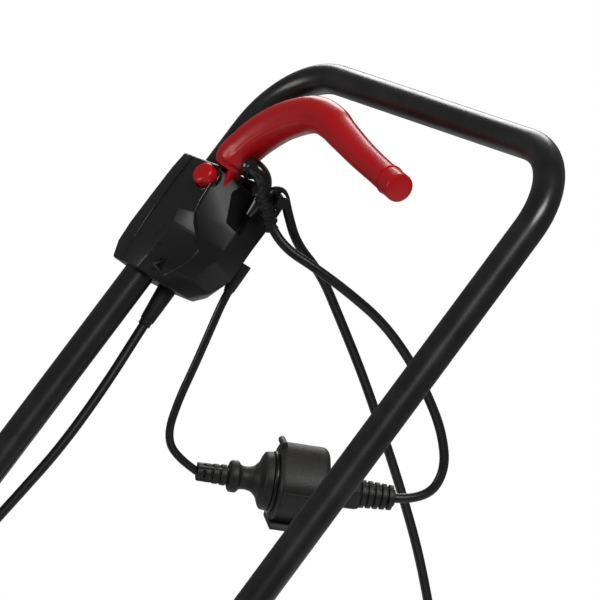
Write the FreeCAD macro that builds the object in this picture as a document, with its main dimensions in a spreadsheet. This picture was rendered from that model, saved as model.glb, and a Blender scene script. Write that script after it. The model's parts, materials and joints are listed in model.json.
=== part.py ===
import FreeCAD, Part
import math
import os
import types

import Sketcher
from FreeCAD import Placement, Rotation, Vector

# Electric walk-behind lawn mower with rear grass box. Millimetres, +Z up, +X the mower's left side,
# -Y forward. Sizes along Y are measured from the blade axis and shifted so that the origin lies
# under the middle of the mower's box on the ground.

SIZES = {
    # handle tubes
    "tube_dia": 22, "tube_wall": 1.5, "handle_width": 360, "bend_radius": 60, "handle_angle": 46,
    "leg_length": 1160, "foot_reach": 76.196, "foot_height": 145.566, "fold_distance": 560,
    "tube_overrun": 16, "lower_overlap": 30, "lower_overrun": 80, "bolt_pitch": 52, "bolt_dia": 8,
    "bolt_head_dia": 14, "bolt_head_thick": 5, "nut_thick": 4.5, "knob_dia": 38, "knob_thick": 22,
    "running_gap": 0.05, "loose_gap": 0.3, "saddle_dia": 28, "saddle_thick": 3,
    # deck
    "waist_front": 112, "waist_rear": 106, "deck_top": 165, "skirt_height": 35, "deck_wall": 4,
    "deck_round": 16, "bowl_gap": 11, "chute_margin": 24, "shaft_hole_dia": 30, "boss_dia": 26, "boss_length": 9,
    # wheels
    "wheel_gap": 8, "wheel_width": 36, "front_wheel_dia": 140, "rear_wheel_dia": 176, "axle_dia": 12,
    "hub_dia": 34, "hub_width": 30, "rim_depth": 12, "web_thick": 8, "cap_dia": 66, "cap_thick": 3,
    "height_step": 19, "retainer_dia": 22, "retainer_thick": 1.5,
    # motor and blade
    "stator_dia": 96, "stator_length": 90, "stator_bore": 76, "air_gap": 0.8, "bracket_thick": 12,
    "bracket_dia": 112, "shaft_dia": 16, "bearing_wall": 9.5, "bearing_width": 10, "fan_dia": 84,
    "fan_thick": 9, "blade_gap": 9, "blade_width": 46, "blade_thick": 3, "blade_height": 50,
    "carrier_dia": 44, "carrier_length": 20, "screw_dia": 5, "screw_circle": 100,
    # motor cover
    "cover_width": 236, "cover_front": 128, "cover_rear": 122, "cover_height": 138, "cover_wall": 3,
    "cover_round": 26, "vent_width": 5, "vent_height": 44, "vent_pitch": 13, "vent_rows": 8,
    "grommet_dia": 16, "grommet_side": 70, "grommet_level": 215,
    # flap and grass box
    "flap_margin": 20, "flap_length": 66, "flap_thick": 3, "hinge_rod_dia": 6, "hinge_height": 188,
    "lug_thick": 6, "box_gap": 1.5, "neck_wall": 3, "bin_width": 340, "bin_length": 258,
    "bin_bottom": 72, "bin_split": 240, "bin_top": 330, "bin_wall": 2.5, "bin_round": 30, "grip_width": 120,
    # switch box, in handle coordinates: x across, run down the leg from the crossbar, lift in front
    "box_outer_gap": 26, "box_inner_gap": 54, "box_wall": 2.6, "box_start": 88, "box_end": 190,
    "box_skin": 6, "chamber_gap": 2.4, "box_rear": 42, "lever_run": 120, "lever_tilt": 16, "lever_inset": 40,
    "lever_dia": 28, "lever_tip_dia": 20, "neck_width": 13, "eye_radius": 8, "lever_pin_dia": 5,
    "button_dia": 17, "button_run": 110, "button_tilt": 8, "button_inset": 23, "button_rise": 8,
    "button_stem_dia": 7, "hook_dia": 11, "hook_run": 93, "hook_lift": 15, "hook_out": 26, "finger_length": 22,
    # leads
    "motor_lead_dia": 7.2, "pigtail_dia": 6, "extension_dia": 7, "coil_radius": 50, "coil_section": 28,
    "coil_side": 20, "coil_reach": 862, "clip_wall": 2, "clip_width": 12,
    "plug_turn": 25, "plug_droop": 10,
}


class Size:
    """A number and the sheet expression that gives it."""

    def __init__(self, value, text):
        self.value = float(value)
        self.text = text

    def combine(self, other, sign, value):
        return Size(value, "(%s %s %s)" % (self.text, sign, size(other).text))

    def __add__(self, other):
        return self.combine(other, "+", self.value + size(other).value)

    def __sub__(self, other):
        return self.combine(other, "-", self.value - size(other).value)

    def __mul__(self, other):
        return self.combine(other, "*", self.value * size(other).value)

    def __truediv__(self, other):
        return self.combine(other, "/", self.value / size(other).value)

    def __radd__(self, other):
        return size(other) + self

    def __rsub__(self, other):
        return size(other) - self

    def __rmul__(self, other):
        return size(other) * self

    def __neg__(self):
        return size(0) - self


def size(value):
    if isinstance(value, Size):
        return value
    return Size(value, "%.6g" % value)


def sine(angle):
    return Size(math.sin(math.radians(size(angle).value)), "sin(%s * 1 deg)" % size(angle).text)


def cosine(angle):
    return Size(math.cos(math.radians(size(angle).value)), "cos(%s * 1 deg)" % size(angle).text)


doc = FreeCAD.newDocument("lawn_mower")
sheet = doc.addObject("Spreadsheet::Sheet", "sizes")
for row, (alias, number) in enumerate(SIZES.items(), start=1):
    sheet.set("A%d" % row, alias)
    sheet.set("B%d" % row, str(number))
    sheet.setAlias("B%d" % row, alias)
doc.recompute()
d = types.SimpleNamespace(**{alias: Size(number, "sizes." + alias) for alias, number in SIZES.items()})

ROUND = 360
QUARTER = 90
LEFT, RIGHT = 1, -1
ALONG = {"X": Rotation(Vector(0, 1, 0), QUARTER), "Y": Rotation(Vector(1, 0, 0), -QUARTER), "Z": Rotation()}

# Widths follow from the handle outward: leg beside leg, deck between the legs, wheels under the legs.
tube = d.tube_dia / 2
bolt = d.bolt_dia / 2
half_upper = d.handle_width / 2
half_lower = half_upper + d.tube_dia + d.saddle_thick
boss_end = half_lower - tube
half_deck = boss_end - d.boss_length
half_track = boss_end - d.wheel_gap - d.wheel_width / 2
half_nose = half_track - d.wheel_width / 2 - 10
bowl_radius = half_deck - d.bowl_gap
bowl_outside = bowl_radius + d.deck_wall
front_radius = d.front_wheel_dia / 2
rear_radius = d.rear_wheel_dia / 2
front_axle_reach = bowl_outside + 17
rear_axle_reach = bowl_outside + 27
deck_front = front_axle_reach + 55
deck_rear = rear_axle_reach + 25
half_chute = half_nose - d.chute_margin
chute_floor = rear_radius + d.axle_dia / 2 + 10

# The handle rises from its upper foot bolt to the crossbar.
handle_reach = d.foot_reach + d.leg_length * cosine(d.handle_angle)
crossbar_height = d.foot_height + d.leg_length * sine(d.handle_angle)
foot_bolts = (d.leg_length, d.leg_length + d.bolt_pitch)

# The lever hinges in the switch box beside the right leg and stands in front of the crossbar.
chamber_front = tube + d.chamber_gap
box_front = tube + d.box_skin
box_outer = half_upper + d.box_outer_gap
box_split = half_upper + 1
box_inner = half_upper - d.box_inner_gap
lever_side = d.lever_inset - half_upper
lever_angle = d.handle_angle + d.lever_tilt
lever_lift = Size(2, "2")
hinge_reach = handle_reach - d.lever_run * cosine(d.handle_angle) - lever_lift * sine(d.handle_angle)
hinge_level = crossbar_height - d.lever_run * sine(d.handle_angle) + lever_lift * cosine(d.handle_angle)

rear_reach = handle_reach + tube
front_reach = front_axle_reach + front_radius
blade_axis = (front_reach - rear_reach) / 2
nodes = {}


# ---------------------------------------------------------------- making and placing solids

def put(obj, at, turn=None):
    obj.Placement = Placement(Vector(*[size(v).value for v in at]), turn or Rotation())
    for axis, value in zip("xyz", at):
        obj.setExpression("Placement.Base." + axis, size(value).text)
    return obj


def block(x, y, z):
    box = doc.addObject("Part::Box", "block")
    for name, (low, high) in zip(("Length", "Width", "Height"), (x, y, z)):
        box.setExpression(name, (size(high) - low).text)
    return put(box, (x[0], y[0], z[0]))


def rod(axis, centre, low, high, radius):
    bar = doc.addObject("Part::Cylinder", "rod")
    bar.setExpression("Radius", size(radius).text)
    bar.setExpression("Height", (size(high) - low).text)
    first, second = centre
    at = {"X": (low, first, second), "Y": (first, low, second), "Z": (first, second, low)}[axis]
    return put(bar, at, ALONG[axis])


def ring(axis, centre, low, high, outer, inner):
    return cut(rod(axis, centre, low, high, outer), rod(axis, centre, low, high, inner))


def fuse(*parts):
    if len(parts) == 1:
        return parts[0]
    joined = doc.addObject("Part::MultiFuse", "fuse")
    joined.Shapes = list(parts)
    return joined


def cut(base, *tools):
    result = doc.addObject("Part::Cut", "cut")
    result.Base = base
    result.Tool = fuse(*tools)
    return result


def group(*parts):
    bundle = doc.addObject("Part::Compound", "group")
    bundle.Links = list(parts)
    return bundle


def mirrored(maker):
    return [maker(side) for side in (LEFT, RIGHT)]


def origin_plane(body, role):
    return [item for item in body.Origin.OriginFeatures if item.Role == role][0]


def sketch_on(body, role, offset=0):
    sketch = body.newObject("Sketcher::SketchObject", "sketch")
    sketch.AttachmentSupport = (origin_plane(body, role), [""])
    sketch.MapMode = "FlatFace"
    sketch.AttachmentOffset = Placement(Vector(0, 0, size(offset).value), Rotation())
    sketch.setExpression("AttachmentOffset.Base.z", size(offset).text)
    return sketch


def pin_point(sketch, index, end, point):
    for kind, value in zip(("DistanceX", "DistanceY"), point):
        number = sketch.addConstraint(Sketcher.Constraint(kind, -1, 1, index, end, size(value).value))
        sketch.setExpression("Constraints[%d]" % number, size(value).text)


def closed_outline(sketch, points):
    spots = [Vector(size(a).value, size(b).value, 0) for a, b in points]
    count = len(points)
    sketch.addGeometry([Part.LineSegment(spots[i], spots[(i + 1) % count]) for i in range(count)])
    for i, point in enumerate(points):
        sketch.addConstraint(Sketcher.Constraint("Coincident", i, 2, (i + 1) % count, 1))
        pin_point(sketch, i, 1, point)


def extruded(role, points, low, high, rounding=None):
    body = doc.addObject("PartDesign::Body", "body")
    sketch = sketch_on(body, role, low)
    closed_outline(sketch, points)
    pad = body.newObject("PartDesign::Pad", "pad")
    pad.Profile = sketch
    pad.setExpression("Length", (size(high) - low).text)
    if rounding is not None:
        doc.recompute()
        direction = {"XY_Plane": "ZLength", "YZ_Plane": "XLength"}[role]
        long_way = getattr(pad.Shape.BoundBox, direction)
        edges = [
            "Edge%d" % (i + 1) for i, edge in enumerate(pad.Shape.Edges)
            if getattr(edge.BoundBox, direction) > long_way * 0.99
        ]
        fillet = body.newObject("PartDesign::Fillet", "fillet")
        fillet.Base = (pad, edges)
        fillet.Radius = size(rounding).value
        fillet.setExpression("Radius", size(rounding).text)
    return body


def turned(points):
    body = doc.addObject("PartDesign::Body", "body")
    sketch = sketch_on(body, "XZ_Plane")
    closed_outline(sketch, points)
    spin = body.newObject("PartDesign::Revolution", "spin")
    spin.Profile = sketch
    spin.ReferenceAxis = (sketch, ["V_Axis"])
    spin.Angle = ROUND
    return body


def bent_tube(corners, radii, outer, inner=None):
    """A round bar or tube swept along a rounded path in its body's own XY plane, begun along Y."""
    body = doc.addObject("PartDesign::Body", "body")
    path = sketch_on(body, "XY_Plane")
    spots = [Vector(size(a).value, size(b).value, 0) for a, b in corners]
    before = spots[0]
    pieces = []
    for corner, after, radius in zip(spots[1:-1], spots[2:], radii):
        arc = rounded_corner(before, corner, after, size(radius).value)
        pieces += [Part.LineSegment(before, arc.StartPoint), arc]
        before = arc.EndPoint
    pieces.append(Part.LineSegment(before, spots[-1]))
    path.addGeometry(pieces)
    section = sketch_on(body, "XZ_Plane", -size(corners[0][1]))
    for radius in (outer, inner):
        if radius is None:
            continue
        centre = Vector(spots[0].x, 0, 0)
        index = section.addGeometry(Part.Circle(centre, Vector(0, 0, 1), size(radius).value))
        number = section.addConstraint(Sketcher.Constraint("Radius", index, size(radius).value))
        section.setExpression("Constraints[%d]" % number, size(radius).text)
        pin_point(section, index, 3, (corners[0][0], 0))
    pipe = body.newObject("PartDesign::AdditivePipe", "pipe")
    pipe.Profile = section
    pipe.Spine = (path, ["Edge%d" % (i + 1) for i in range(len(pieces))])
    return body


def rounded_corner(before, corner, after, radius):
    inward = (before - corner).normalize()
    outward = (after - corner).normalize()
    half_turn = (math.pi - inward.getAngle(outward)) / 2
    reach = radius * math.tan(half_turn)
    middle = (inward + outward).normalize()
    centre = corner + middle * (radius / math.cos(half_turn))
    return Part.Arc(corner + inward * reach, centre - middle * radius, corner + outward * reach)


def node(name, obj, frame="mower"):
    """Label a finished sub-part and place it from the blade axis or from the crossbar centre."""
    obj.Label = name
    if frame == "mower":
        put(obj, (0, blade_axis, 0))
    elif frame == "handle":
        put(obj, (0, blade_axis + handle_reach, crossbar_height), Rotation(Vector(1, 0, 0), 1))
        obj.setExpression("Placement.Rotation.Angle", d.handle_angle.text)
    nodes[name] = obj
    return obj


# ---------------------------------------------------------------- deck

def deck_plan(inset):
    wide = half_deck - inset
    narrow = half_nose - inset
    front = inset - deck_front
    rear = deck_rear - inset
    waist_front = inset - d.waist_front
    waist_rear = d.waist_rear - inset
    right = [(-narrow, front), (narrow, front), (narrow, waist_front), (wide, waist_front)]
    left = [(wide, waist_rear), (narrow, waist_rear), (narrow, rear), (-narrow, rear)]
    return right + left + [(-narrow, waist_rear), (-wide, waist_rear), (-wide, waist_front), (-narrow, waist_front)]


def axle_places():
    return ((-front_axle_reach, front_radius), (rear_axle_reach, rear_radius))


half_flap = half_chute + d.flap_margin
lug_side = half_flap + 1


def handle_boss(side, run, low, high, radius):
    """A round bar across the deck's side, at a distance down the leg from the crossbar."""
    reach = handle_reach - run * cosine(d.handle_angle)
    level = crossbar_height - run * sine(d.handle_angle)
    ends = sorted((side * low, side * high), key=lambda end: end.value)
    return rod("X", (reach, level), ends[0], ends[1], radius)


def deck_shell():
    roof = d.deck_top - d.deck_wall
    outer = extruded("XY_Plane", deck_plan(0), d.skirt_height, d.deck_top, d.deck_round)
    inner = extruded("XY_Plane", deck_plan(d.deck_wall), d.skirt_height - 1, roof, d.deck_round - d.deck_wall)
    bowl = rod("Z", (0, 0), d.skirt_height, roof + 1, bowl_outside)
    tunnel = block(
        (-half_chute - d.deck_wall, half_chute + d.deck_wall), (0, deck_rear - 1),
        (chute_floor - d.deck_wall, roof + 1),
    )
    added = [bowl, tunnel]
    removed = [
        rod("Z", (0, 0), d.skirt_height - 1, roof, bowl_radius),
        block((-half_chute, half_chute), (0, deck_rear + 1), (chute_floor, roof - d.deck_wall)),
        rod("Z", (0, 0), roof - 1, d.deck_top + 1, d.shaft_hole_dia / 2),
    ]
    for reach, level in axle_places():
        for side in (LEFT, RIGHT):
            ends = sorted((side * (half_nose - 1), side * (half_nose + 6)), key=lambda e: e.value)
            added.append(rod("X", (reach, level), ends[0], ends[1], d.axle_dia))
        removed.append(rod("X", (reach, level), -half_deck, half_deck, d.axle_dia / 2))
        for step in (-1, 1):
            spot = (reach, level + step * d.height_step)
            removed.append(rod("X", spot, -half_deck, half_deck, d.axle_dia / 2))
    for side in (LEFT, RIGHT):
        for run in foot_bolts:
            added.append(handle_boss(side, run, half_deck - 2, boss_end, d.boss_dia / 2))
            removed.append(handle_boss(side, run, half_deck - 9, boss_end + 1, bolt + d.running_gap))
        lug = sorted((side * lug_side, side * (lug_side + d.lug_thick)), key=lambda e: e.value)
        shelf = deck_rear - 24
        added.append(block((lug[0], lug[1]), (shelf, deck_rear), (roof, d.hinge_height + 10)))
        added.append(block((lug[0], lug[1]), (shelf, deck_rear), (roof - 8, d.deck_top)))
        removed.append(rod("X", (deck_rear - 10, d.hinge_height), lug[0] - 1, lug[1] + 1, d.hinge_rod_dia / 2))
    for x, y in screw_spots(d.screw_circle / 2):
        removed.append(rod("Z", (x, y), roof - 1, d.deck_top + 1, d.screw_dia / 2))
    return cut(fuse(cut(outer, inner), *added), *removed)


def screw_spots(radius):
    diagonal = radius * cosine(45)
    return [(i * diagonal, j * diagonal) for i in (-1, 1) for j in (-1, 1)]


node("deck_shell", deck_shell())


# ---------------------------------------------------------------- wheels and axles

axle_end = half_track + d.hub_width / 2 + d.retainer_thick + 1
for reach, level in axle_places():
    where = "front" if reach.value < 0 else "rear"
    node(where + "_axle", group(rod("X", (reach, level), -axle_end, axle_end, d.axle_dia / 2)))


def retainer(side, reach, level):
    near = half_track + d.hub_width / 2 + d.loose_gap
    ends = sorted((side * near, side * (near + d.retainer_thick)), key=lambda e: e.value)
    return ring("X", (reach, level), ends[0], ends[1], d.retainer_dia / 2, d.axle_dia / 2)


node("axle_retainers", group(*[
    retainer(side, reach, level) for reach, level in axle_places() for side in (LEFT, RIGHT)
]))


def wheel(radius):
    """A spoked-web wheel turned about its own axis: hub, web and rim in one moulding."""
    half = d.wheel_width / 2
    hub = d.hub_width / 2
    web = d.web_thick / 2
    bore = d.axle_dia / 2 + d.running_gap
    rim = radius - d.rim_depth
    shoulder = radius - d.rim_depth / 2
    return turned([
        (bore, -hub), (d.hub_dia / 2, -hub), (d.hub_dia / 2, -web), (rim, -web), (rim, -half),
        (shoulder, -half), (radius, -half + d.rim_depth / 2), (radius, half - d.rim_depth / 2),
        (shoulder, half), (rim, half), (rim, web), (d.hub_dia / 2, web), (d.hub_dia / 2, hub), (bore, hub),
    ])


def hub_cap(radius):
    """A shallow cover that stands on the web's outer face and hides the axle end."""
    web = d.web_thick / 2
    top = d.wheel_width / 2
    wide = d.cap_dia / 2
    return turned([
        (0, top), (wide - d.cap_thick, top), (wide - d.cap_thick, web), (wide, web),
        (wide, top + 1), (wide - d.cap_thick, top + d.cap_thick), (0, top + d.cap_thick),
    ])


for reach, level in axle_places():
    where = "front" if reach.value < 0 else "rear"
    for side in (LEFT, RIGHT):
        hand = "left" if side == LEFT else "right"
        facing = Rotation(Vector(0, 1, 0), side * QUARTER)
        centre = (side * half_track, blade_axis + reach, level)
        for name, maker in (("wheel", wheel), ("hub_cap", hub_cap)):
            piece = node("%s_%s_%s" % (name, where, hand), maker(level), frame=None)
            put(piece, centre, facing)


# ---------------------------------------------------------------- motor and blade

motor_base = d.deck_top
stator_low = motor_base + d.bracket_thick
stator_high = stator_low + d.stator_length
motor_high = stator_high + d.bracket_thick
shaft = d.shaft_dia / 2
seat = shaft + d.bearing_wall


def bracket(low, high, bearing_low):
    disc = rod("Z", (0, 0), low, high, d.bracket_dia / 2)
    well = rod("Z", (0, 0), bearing_low, bearing_low + d.bearing_width, seat)
    return cut(disc, well, rod("Z", (0, 0), low - 1, high + 1, seat - 4), *[
        rod("Z", spot, low - 1, high + 1, d.screw_dia / 2) for spot in screw_spots(d.screw_circle / 2)
    ])


node("motor_bracket_lower", bracket(motor_base, stator_low, stator_low - d.bearing_width))
node("motor_bracket_upper", bracket(stator_high, motor_high, stator_high))
node("motor_stator", ring("Z", (0, 0), stator_low, stator_high, d.stator_dia / 2 - 2, d.stator_bore / 2))
node("motor_bearings", group(*[
    ring("Z", (0, 0), low, low + d.bearing_width, seat, shaft) for low in (stator_low - d.bearing_width, stator_high)
]))
screw_low = d.deck_top - d.deck_wall - 4
node("motor_screws", group(*[
    fuse(
        rod("Z", spot, screw_low, motor_high + 2, d.screw_dia / 2),
        rod("Z", spot, screw_low, d.deck_top - d.deck_wall, d.screw_dia),
        rod("Z", spot, motor_high, motor_high + 4, d.screw_dia),
    ) for spot in screw_spots(d.screw_circle / 2)
]))

shaft_low = d.blade_height - d.blade_thick
shaft_high = motor_high + d.fan_thick + 8
fan_low = motor_high + 6
node("motor_shaft", cut(
    rod("Z", (0, 0), shaft_low + d.blade_thick, shaft_high, shaft),
    rod("Z", (0, 0), shaft_low, shaft_low + d.carrier_length, d.bolt_dia / 2),
))
node("rotor_core", ring(
    "Z", (0, 0), stator_low + 8, stator_high - 8, d.stator_bore / 2 - d.air_gap, shaft,
))


def cooling_fan():
    plate = rod("Z", (0, 0), fan_low, fan_low + 2, d.fan_dia / 2)
    hub = rod("Z", (0, 0), fan_low, fan_low + d.fan_thick, shaft + 5)
    vanes = []
    for turn in range(8):
        vane = block((shaft + 4, d.fan_dia / 2 - 1), (-1, 1), (fan_low, fan_low + d.fan_thick))
        vanes.append(put_turned(vane, turn * ROUND / 8))
    return cut(fuse(plate, hub, *vanes), rod("Z", (0, 0), fan_low - 1, fan_low + d.fan_thick + 1, shaft))


def put_turned(obj, angle):
    """Turn an object about the blade axis."""
    holder = group(obj)
    holder.Placement = Placement(Vector(), Rotation(Vector(0, 0, 1), angle))
    return holder


node("cooling_fan", cooling_fan())
node("blade_carrier", cut(
    fuse(
        rod("Z", (0, 0), d.blade_height, d.blade_height + d.carrier_length, d.carrier_dia / 2),
        rod("Z", (0, 0), d.blade_height, d.blade_height + 6, d.blade_width / 2 + 6),
    ),
    rod("Z", (0, 0), d.blade_height - 1, d.blade_height + d.carrier_length + 1, shaft),
))


def cutting_blade():
    half = bowl_radius - d.blade_gap
    wide = d.blade_width / 2
    plan = [
        (-half, wide - 16), (-half + 60, -wide), (half, -wide), (half, 16 - wide), (half - 60, wide), (-half, wide),
    ]
    plate = extruded("XY_Plane", plan, shaft_low, d.blade_height)
    lifts = []
    for side in (LEFT, RIGHT):
        ends = sorted((side * (half - 52), side * (half - 4)), key=lambda e: e.value)
        edge = sorted((side * (3 - wide), -side * wide), key=lambda e: e.value)
        lifts.append(block((ends[0], ends[1]), (edge[0], edge[1]), (shaft_low, d.blade_height + 12)))
    return cut(fuse(plate, *lifts), rod("Z", (0, 0), shaft_low - 1, d.blade_height + 1, d.bolt_dia / 2))


node("cutting_blade", cutting_blade())
node("blade_bolt", fuse(
    rod("Z", (0, 0), shaft_low - 7, shaft_low, d.bolt_head_dia / 2 + 2),
    rod("Z", (0, 0), shaft_low - 1, shaft_low + d.carrier_length, d.bolt_dia / 2),
))


# ---------------------------------------------------------------- motor cover

cover_high = d.deck_top + d.cover_height


def cover_plan(inset):
    wide = d.cover_width / 2 - inset
    nose = wide * 0.62
    front = inset - d.cover_front
    rear = d.cover_rear - inset
    shoulder = front * 0.45
    return [(-nose, front), (nose, front), (wide, shoulder), (wide, rear), (-wide, rear), (-wide, shoulder)]


def motor_cover():
    outer = extruded("XY_Plane", cover_plan(0), d.deck_top, cover_high, d.cover_round)
    inner = extruded(
        "XY_Plane", cover_plan(d.cover_wall), d.deck_top - 1, cover_high - d.cover_wall, d.cover_round - d.cover_wall,
    )
    slots = []
    wide = d.cover_width / 2
    low = d.deck_top + d.cover_height / 2
    for row in range(int(d.vent_rows.value)):
        reach = (row - 5) * d.vent_pitch + d.cover_rear - 58
        slots.append(block((-wide - 1, wide + 1), (reach, reach + d.vent_width), (low, low + d.vent_height)))
    grommet = rod("X", (d.grommet_side, d.grommet_level), -wide - 1, -wide + d.cover_wall + 1, d.grommet_dia / 2 - 2)
    holes = [rod("Z", spot, cover_high - 9, cover_high + 1, d.screw_dia / 2) for spot in cover_screw_spots()]
    posts = [rod("Z", spot, d.deck_top, cover_high - 1, d.screw_dia + 1) for spot in cover_screw_spots()]
    return cut(fuse(cut(outer, inner), *posts), grommet, *slots, *holes)


def cover_screw_spots():
    wide = d.cover_width / 2 - d.cover_round
    return [(side * wide, reach) for side in (-1, 1) for reach in (20 - d.cover_front * 0.45, d.cover_rear - 26)]


node("motor_cover", motor_cover())
node("cover_screws", group(*[
    fuse(
        rod("Z", spot, cover_high - 8, cover_high + 1, d.screw_dia / 2),
        rod("Z", spot, cover_high, cover_high + 3, d.screw_dia),
    ) for spot in cover_screw_spots()
]))
cover_side = d.cover_width / 2
lead_radius = d.motor_lead_dia / 2
node("lead_grommet", cut(
    fuse(
        rod("X", (d.grommet_side, d.grommet_level), -cover_side - 3, -cover_side, d.grommet_dia / 2),
        rod("X", (d.grommet_side, d.grommet_level), -cover_side - 3, -cover_side + d.cover_wall, d.grommet_dia / 2 - 2),
    ),
    rod("X", (d.grommet_side, d.grommet_level), -cover_side - 4, -cover_side + 9, lead_radius),
))


# ---------------------------------------------------------------- lower handle, bolts and knobs

fold_run = d.fold_distance


def across(side, run, low, high, radius):
    """A round bar across the handle at a distance down the leg, in handle coordinates."""
    ends = sorted((side * low, side * high), key=lambda end: end.value)
    return rod("X", (-run, 0), ends[0], ends[1], radius)


def lower_handle(side):
    top = d.lower_overlap - fold_run
    leg = ring("Y", (side * half_lower, 0), -d.leg_length - d.lower_overrun, top, tube, tube - d.tube_wall)
    holes = [
        across(side, run, half_lower - tube - 2, half_lower + tube + 2, bolt + d.running_gap)
        for run in (fold_run,) + foot_bolts
    ]
    return cut(leg, *holes)


node("lower_handle_left", lower_handle(LEFT), "handle")
node("lower_handle_right", lower_handle(RIGHT), "handle")


def lower_bolt(side, run):
    outside = half_lower + tube
    inside = half_deck - d.deck_wall
    shank = across(side, run, inside - d.nut_thick, outside + 1, bolt)
    head = across(side, run, outside, outside + d.bolt_head_thick, d.bolt_head_dia / 2)
    nut = across(side, run, inside - d.nut_thick, inside, d.bolt_head_dia / 2)
    return fuse(shank, head, nut)


node("lower_handle_bolts", group(*[
    lower_bolt(side, run) for side in (LEFT, RIGHT) for run in foot_bolts
]), "handle")

knob_near = half_lower + tube + d.loose_gap


def fold_bolt(side):
    inside = half_upper - tube - d.loose_gap
    shank = across(side, fold_run, inside - 1, knob_near + d.knob_thick - 6, bolt)
    head = across(side, fold_run, inside - d.bolt_head_thick, inside, d.bolt_head_dia / 2)
    return fuse(shank, head)


def fold_saddle(side):
    near = half_upper + tube + d.loose_gap
    far = half_lower - tube
    disc = across(side, fold_run, near, far, d.saddle_dia / 2)
    return cut(disc, across(side, fold_run, near - 1, far + 1, bolt))


def fold_knob(side):
    body = across(side, fold_run, knob_near, knob_near + d.knob_thick, d.knob_dia / 2 - 4)
    lobes = []
    for turn in range(5):
        angle = turn * ROUND / 5
        lobe = (math.cos(math.radians(angle)) * (d.knob_dia / 2 - 6), math.sin(math.radians(angle)) * (d.knob_dia / 2 - 6))
        ends = sorted((side * (knob_near + 6), side * (knob_near + d.knob_thick)), key=lambda end: end.value)
        lobes.append(rod("X", (lobe[0] - fold_run, lobe[1]), ends[0], ends[1], 6))
    bore = across(side, fold_run, knob_near - 1, knob_near + d.knob_thick - 5, bolt + d.running_gap)
    return cut(fuse(body, *lobes), bore)


node("fold_bolts", group(*mirrored(fold_bolt)), "handle")
node("fold_saddles", group(*mirrored(fold_saddle)), "handle")
node("fold_knob_left", fold_knob(LEFT), "handle")
node("fold_knob_right", fold_knob(RIGHT), "handle")


# ---------------------------------------------------------------- upper handle

def upper_handle():
    foot = -fold_run - d.tube_overrun
    corners = [(half_upper, foot), (half_upper, 0), (-half_upper, 0), (-half_upper, foot)]
    bow = bent_tube(corners, (d.bend_radius, d.bend_radius), tube, tube - d.tube_wall)
    holes = [
        across(side, fold_run, half_upper - tube - 2, half_upper + tube + 2, bolt + d.running_gap)
        for side in (LEFT, RIGHT)
    ]
    return cut(bow, *holes)


node("upper_handle_tube", upper_handle(), "handle")


# ---------------------------------------------------------------- switch box on the right leg

split = -box_split


def box_profile(inset):
    """The box in side view: distance up the leg, and lift in front of the tube."""
    start = -d.box_start - inset
    end = inset - d.box_end
    front = box_front - inset
    rear = inset - d.box_rear
    return [
        (start, -6), (start - 10, front), (end + 3, front), (end, front - 6), (end, -27), (end + 13, rear),
        (start - 24, rear), (start - 6, -26),
    ]


def chambers():
    """The hollow under the tube and the deeper one beside it, where the lever hinges."""
    start = -d.box_start - 12
    low = d.box_wall - d.box_rear
    under = [(start, -chamber_front), (-182, -chamber_front), (-184, -26), (-172, low), (-118, low), (start, -26)]
    beside = [(start, 13), (-182, 13), (-182, -chamber_front), (start, -chamber_front)]
    inside = -box_inner - d.box_wall
    return [
        extruded("YZ_Plane", under, d.box_wall - box_outer, inside),
        extruded("YZ_Plane", beside, 3 - half_upper + tube, inside),
    ]


def outer_shell():
    """The half on the outer side, which closes the hollow under the tube."""
    shell = extruded("YZ_Plane", box_profile(0), -box_outer, split, 2)
    return cut(shell, chambers()[0], leg_bore(), *[screw_hole(spot) for spot in screw_points])


def inner_shell():
    """The half on the inner side, with the lever's slot and hinge and the button's well."""
    shell = extruded("YZ_Plane", box_profile(0), split, -box_inner, 2)
    well = tilted_rod(-14, 0, cap_radius + 1.8)
    slot = d.neck_width / 2 + 2.5
    return cut(
        fuse(cut(shell, *chambers()), well), leg_bore(), *[screw_hole(spot) for spot in screw_points],
        block((lever_side - slot, lever_side + slot), (-d.box_start - 19, 1 - d.box_start), (-7, 19)),
        rod("X", pin_spot, pin_low, pin_high, pin),
        tilted_rod(-11, d.button_rise + 2, cap_radius + d.loose_gap),
        tilted_rod(-34, -10, stem + d.running_gap),
    )


def leg_bore():
    return rod("Y", (-half_upper, 0), -d.box_end - 1, 1 - d.box_start, tube)


pin = d.lever_pin_dia / 2
pin_spot = (-d.lever_run, lever_lift)
screw_lift = tube + 2.2
screw_points = [(-168, screw_lift), (-101, -28), (-160, -34)]
screw_end = split + 12.4


def switch_screw(spot):
    return fuse(
        rod("X", spot, -box_outer, screw_end, 1.5),
        rod("X", spot, -box_outer - 1.5, -box_outer, 3),
    )


cap_radius = d.button_dia / 2
stem = d.button_stem_dia / 2


def tilted_rod(low, high, radius):
    """A bar on the safety button's own slanted axis; heights are measured along it."""
    bar = rod("Z", (0, 0), low, high, radius)
    holder = group(bar)
    put(holder, (d.button_inset - half_upper, -d.button_run, box_front), Rotation(Vector(0, 1, 0), 1))
    holder.setExpression("Placement.Rotation.Angle", d.button_tilt.text)
    return holder


def screw_hole(spot):
    return rod("X", spot, -box_outer - 2, screw_end, 1.5)


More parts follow.
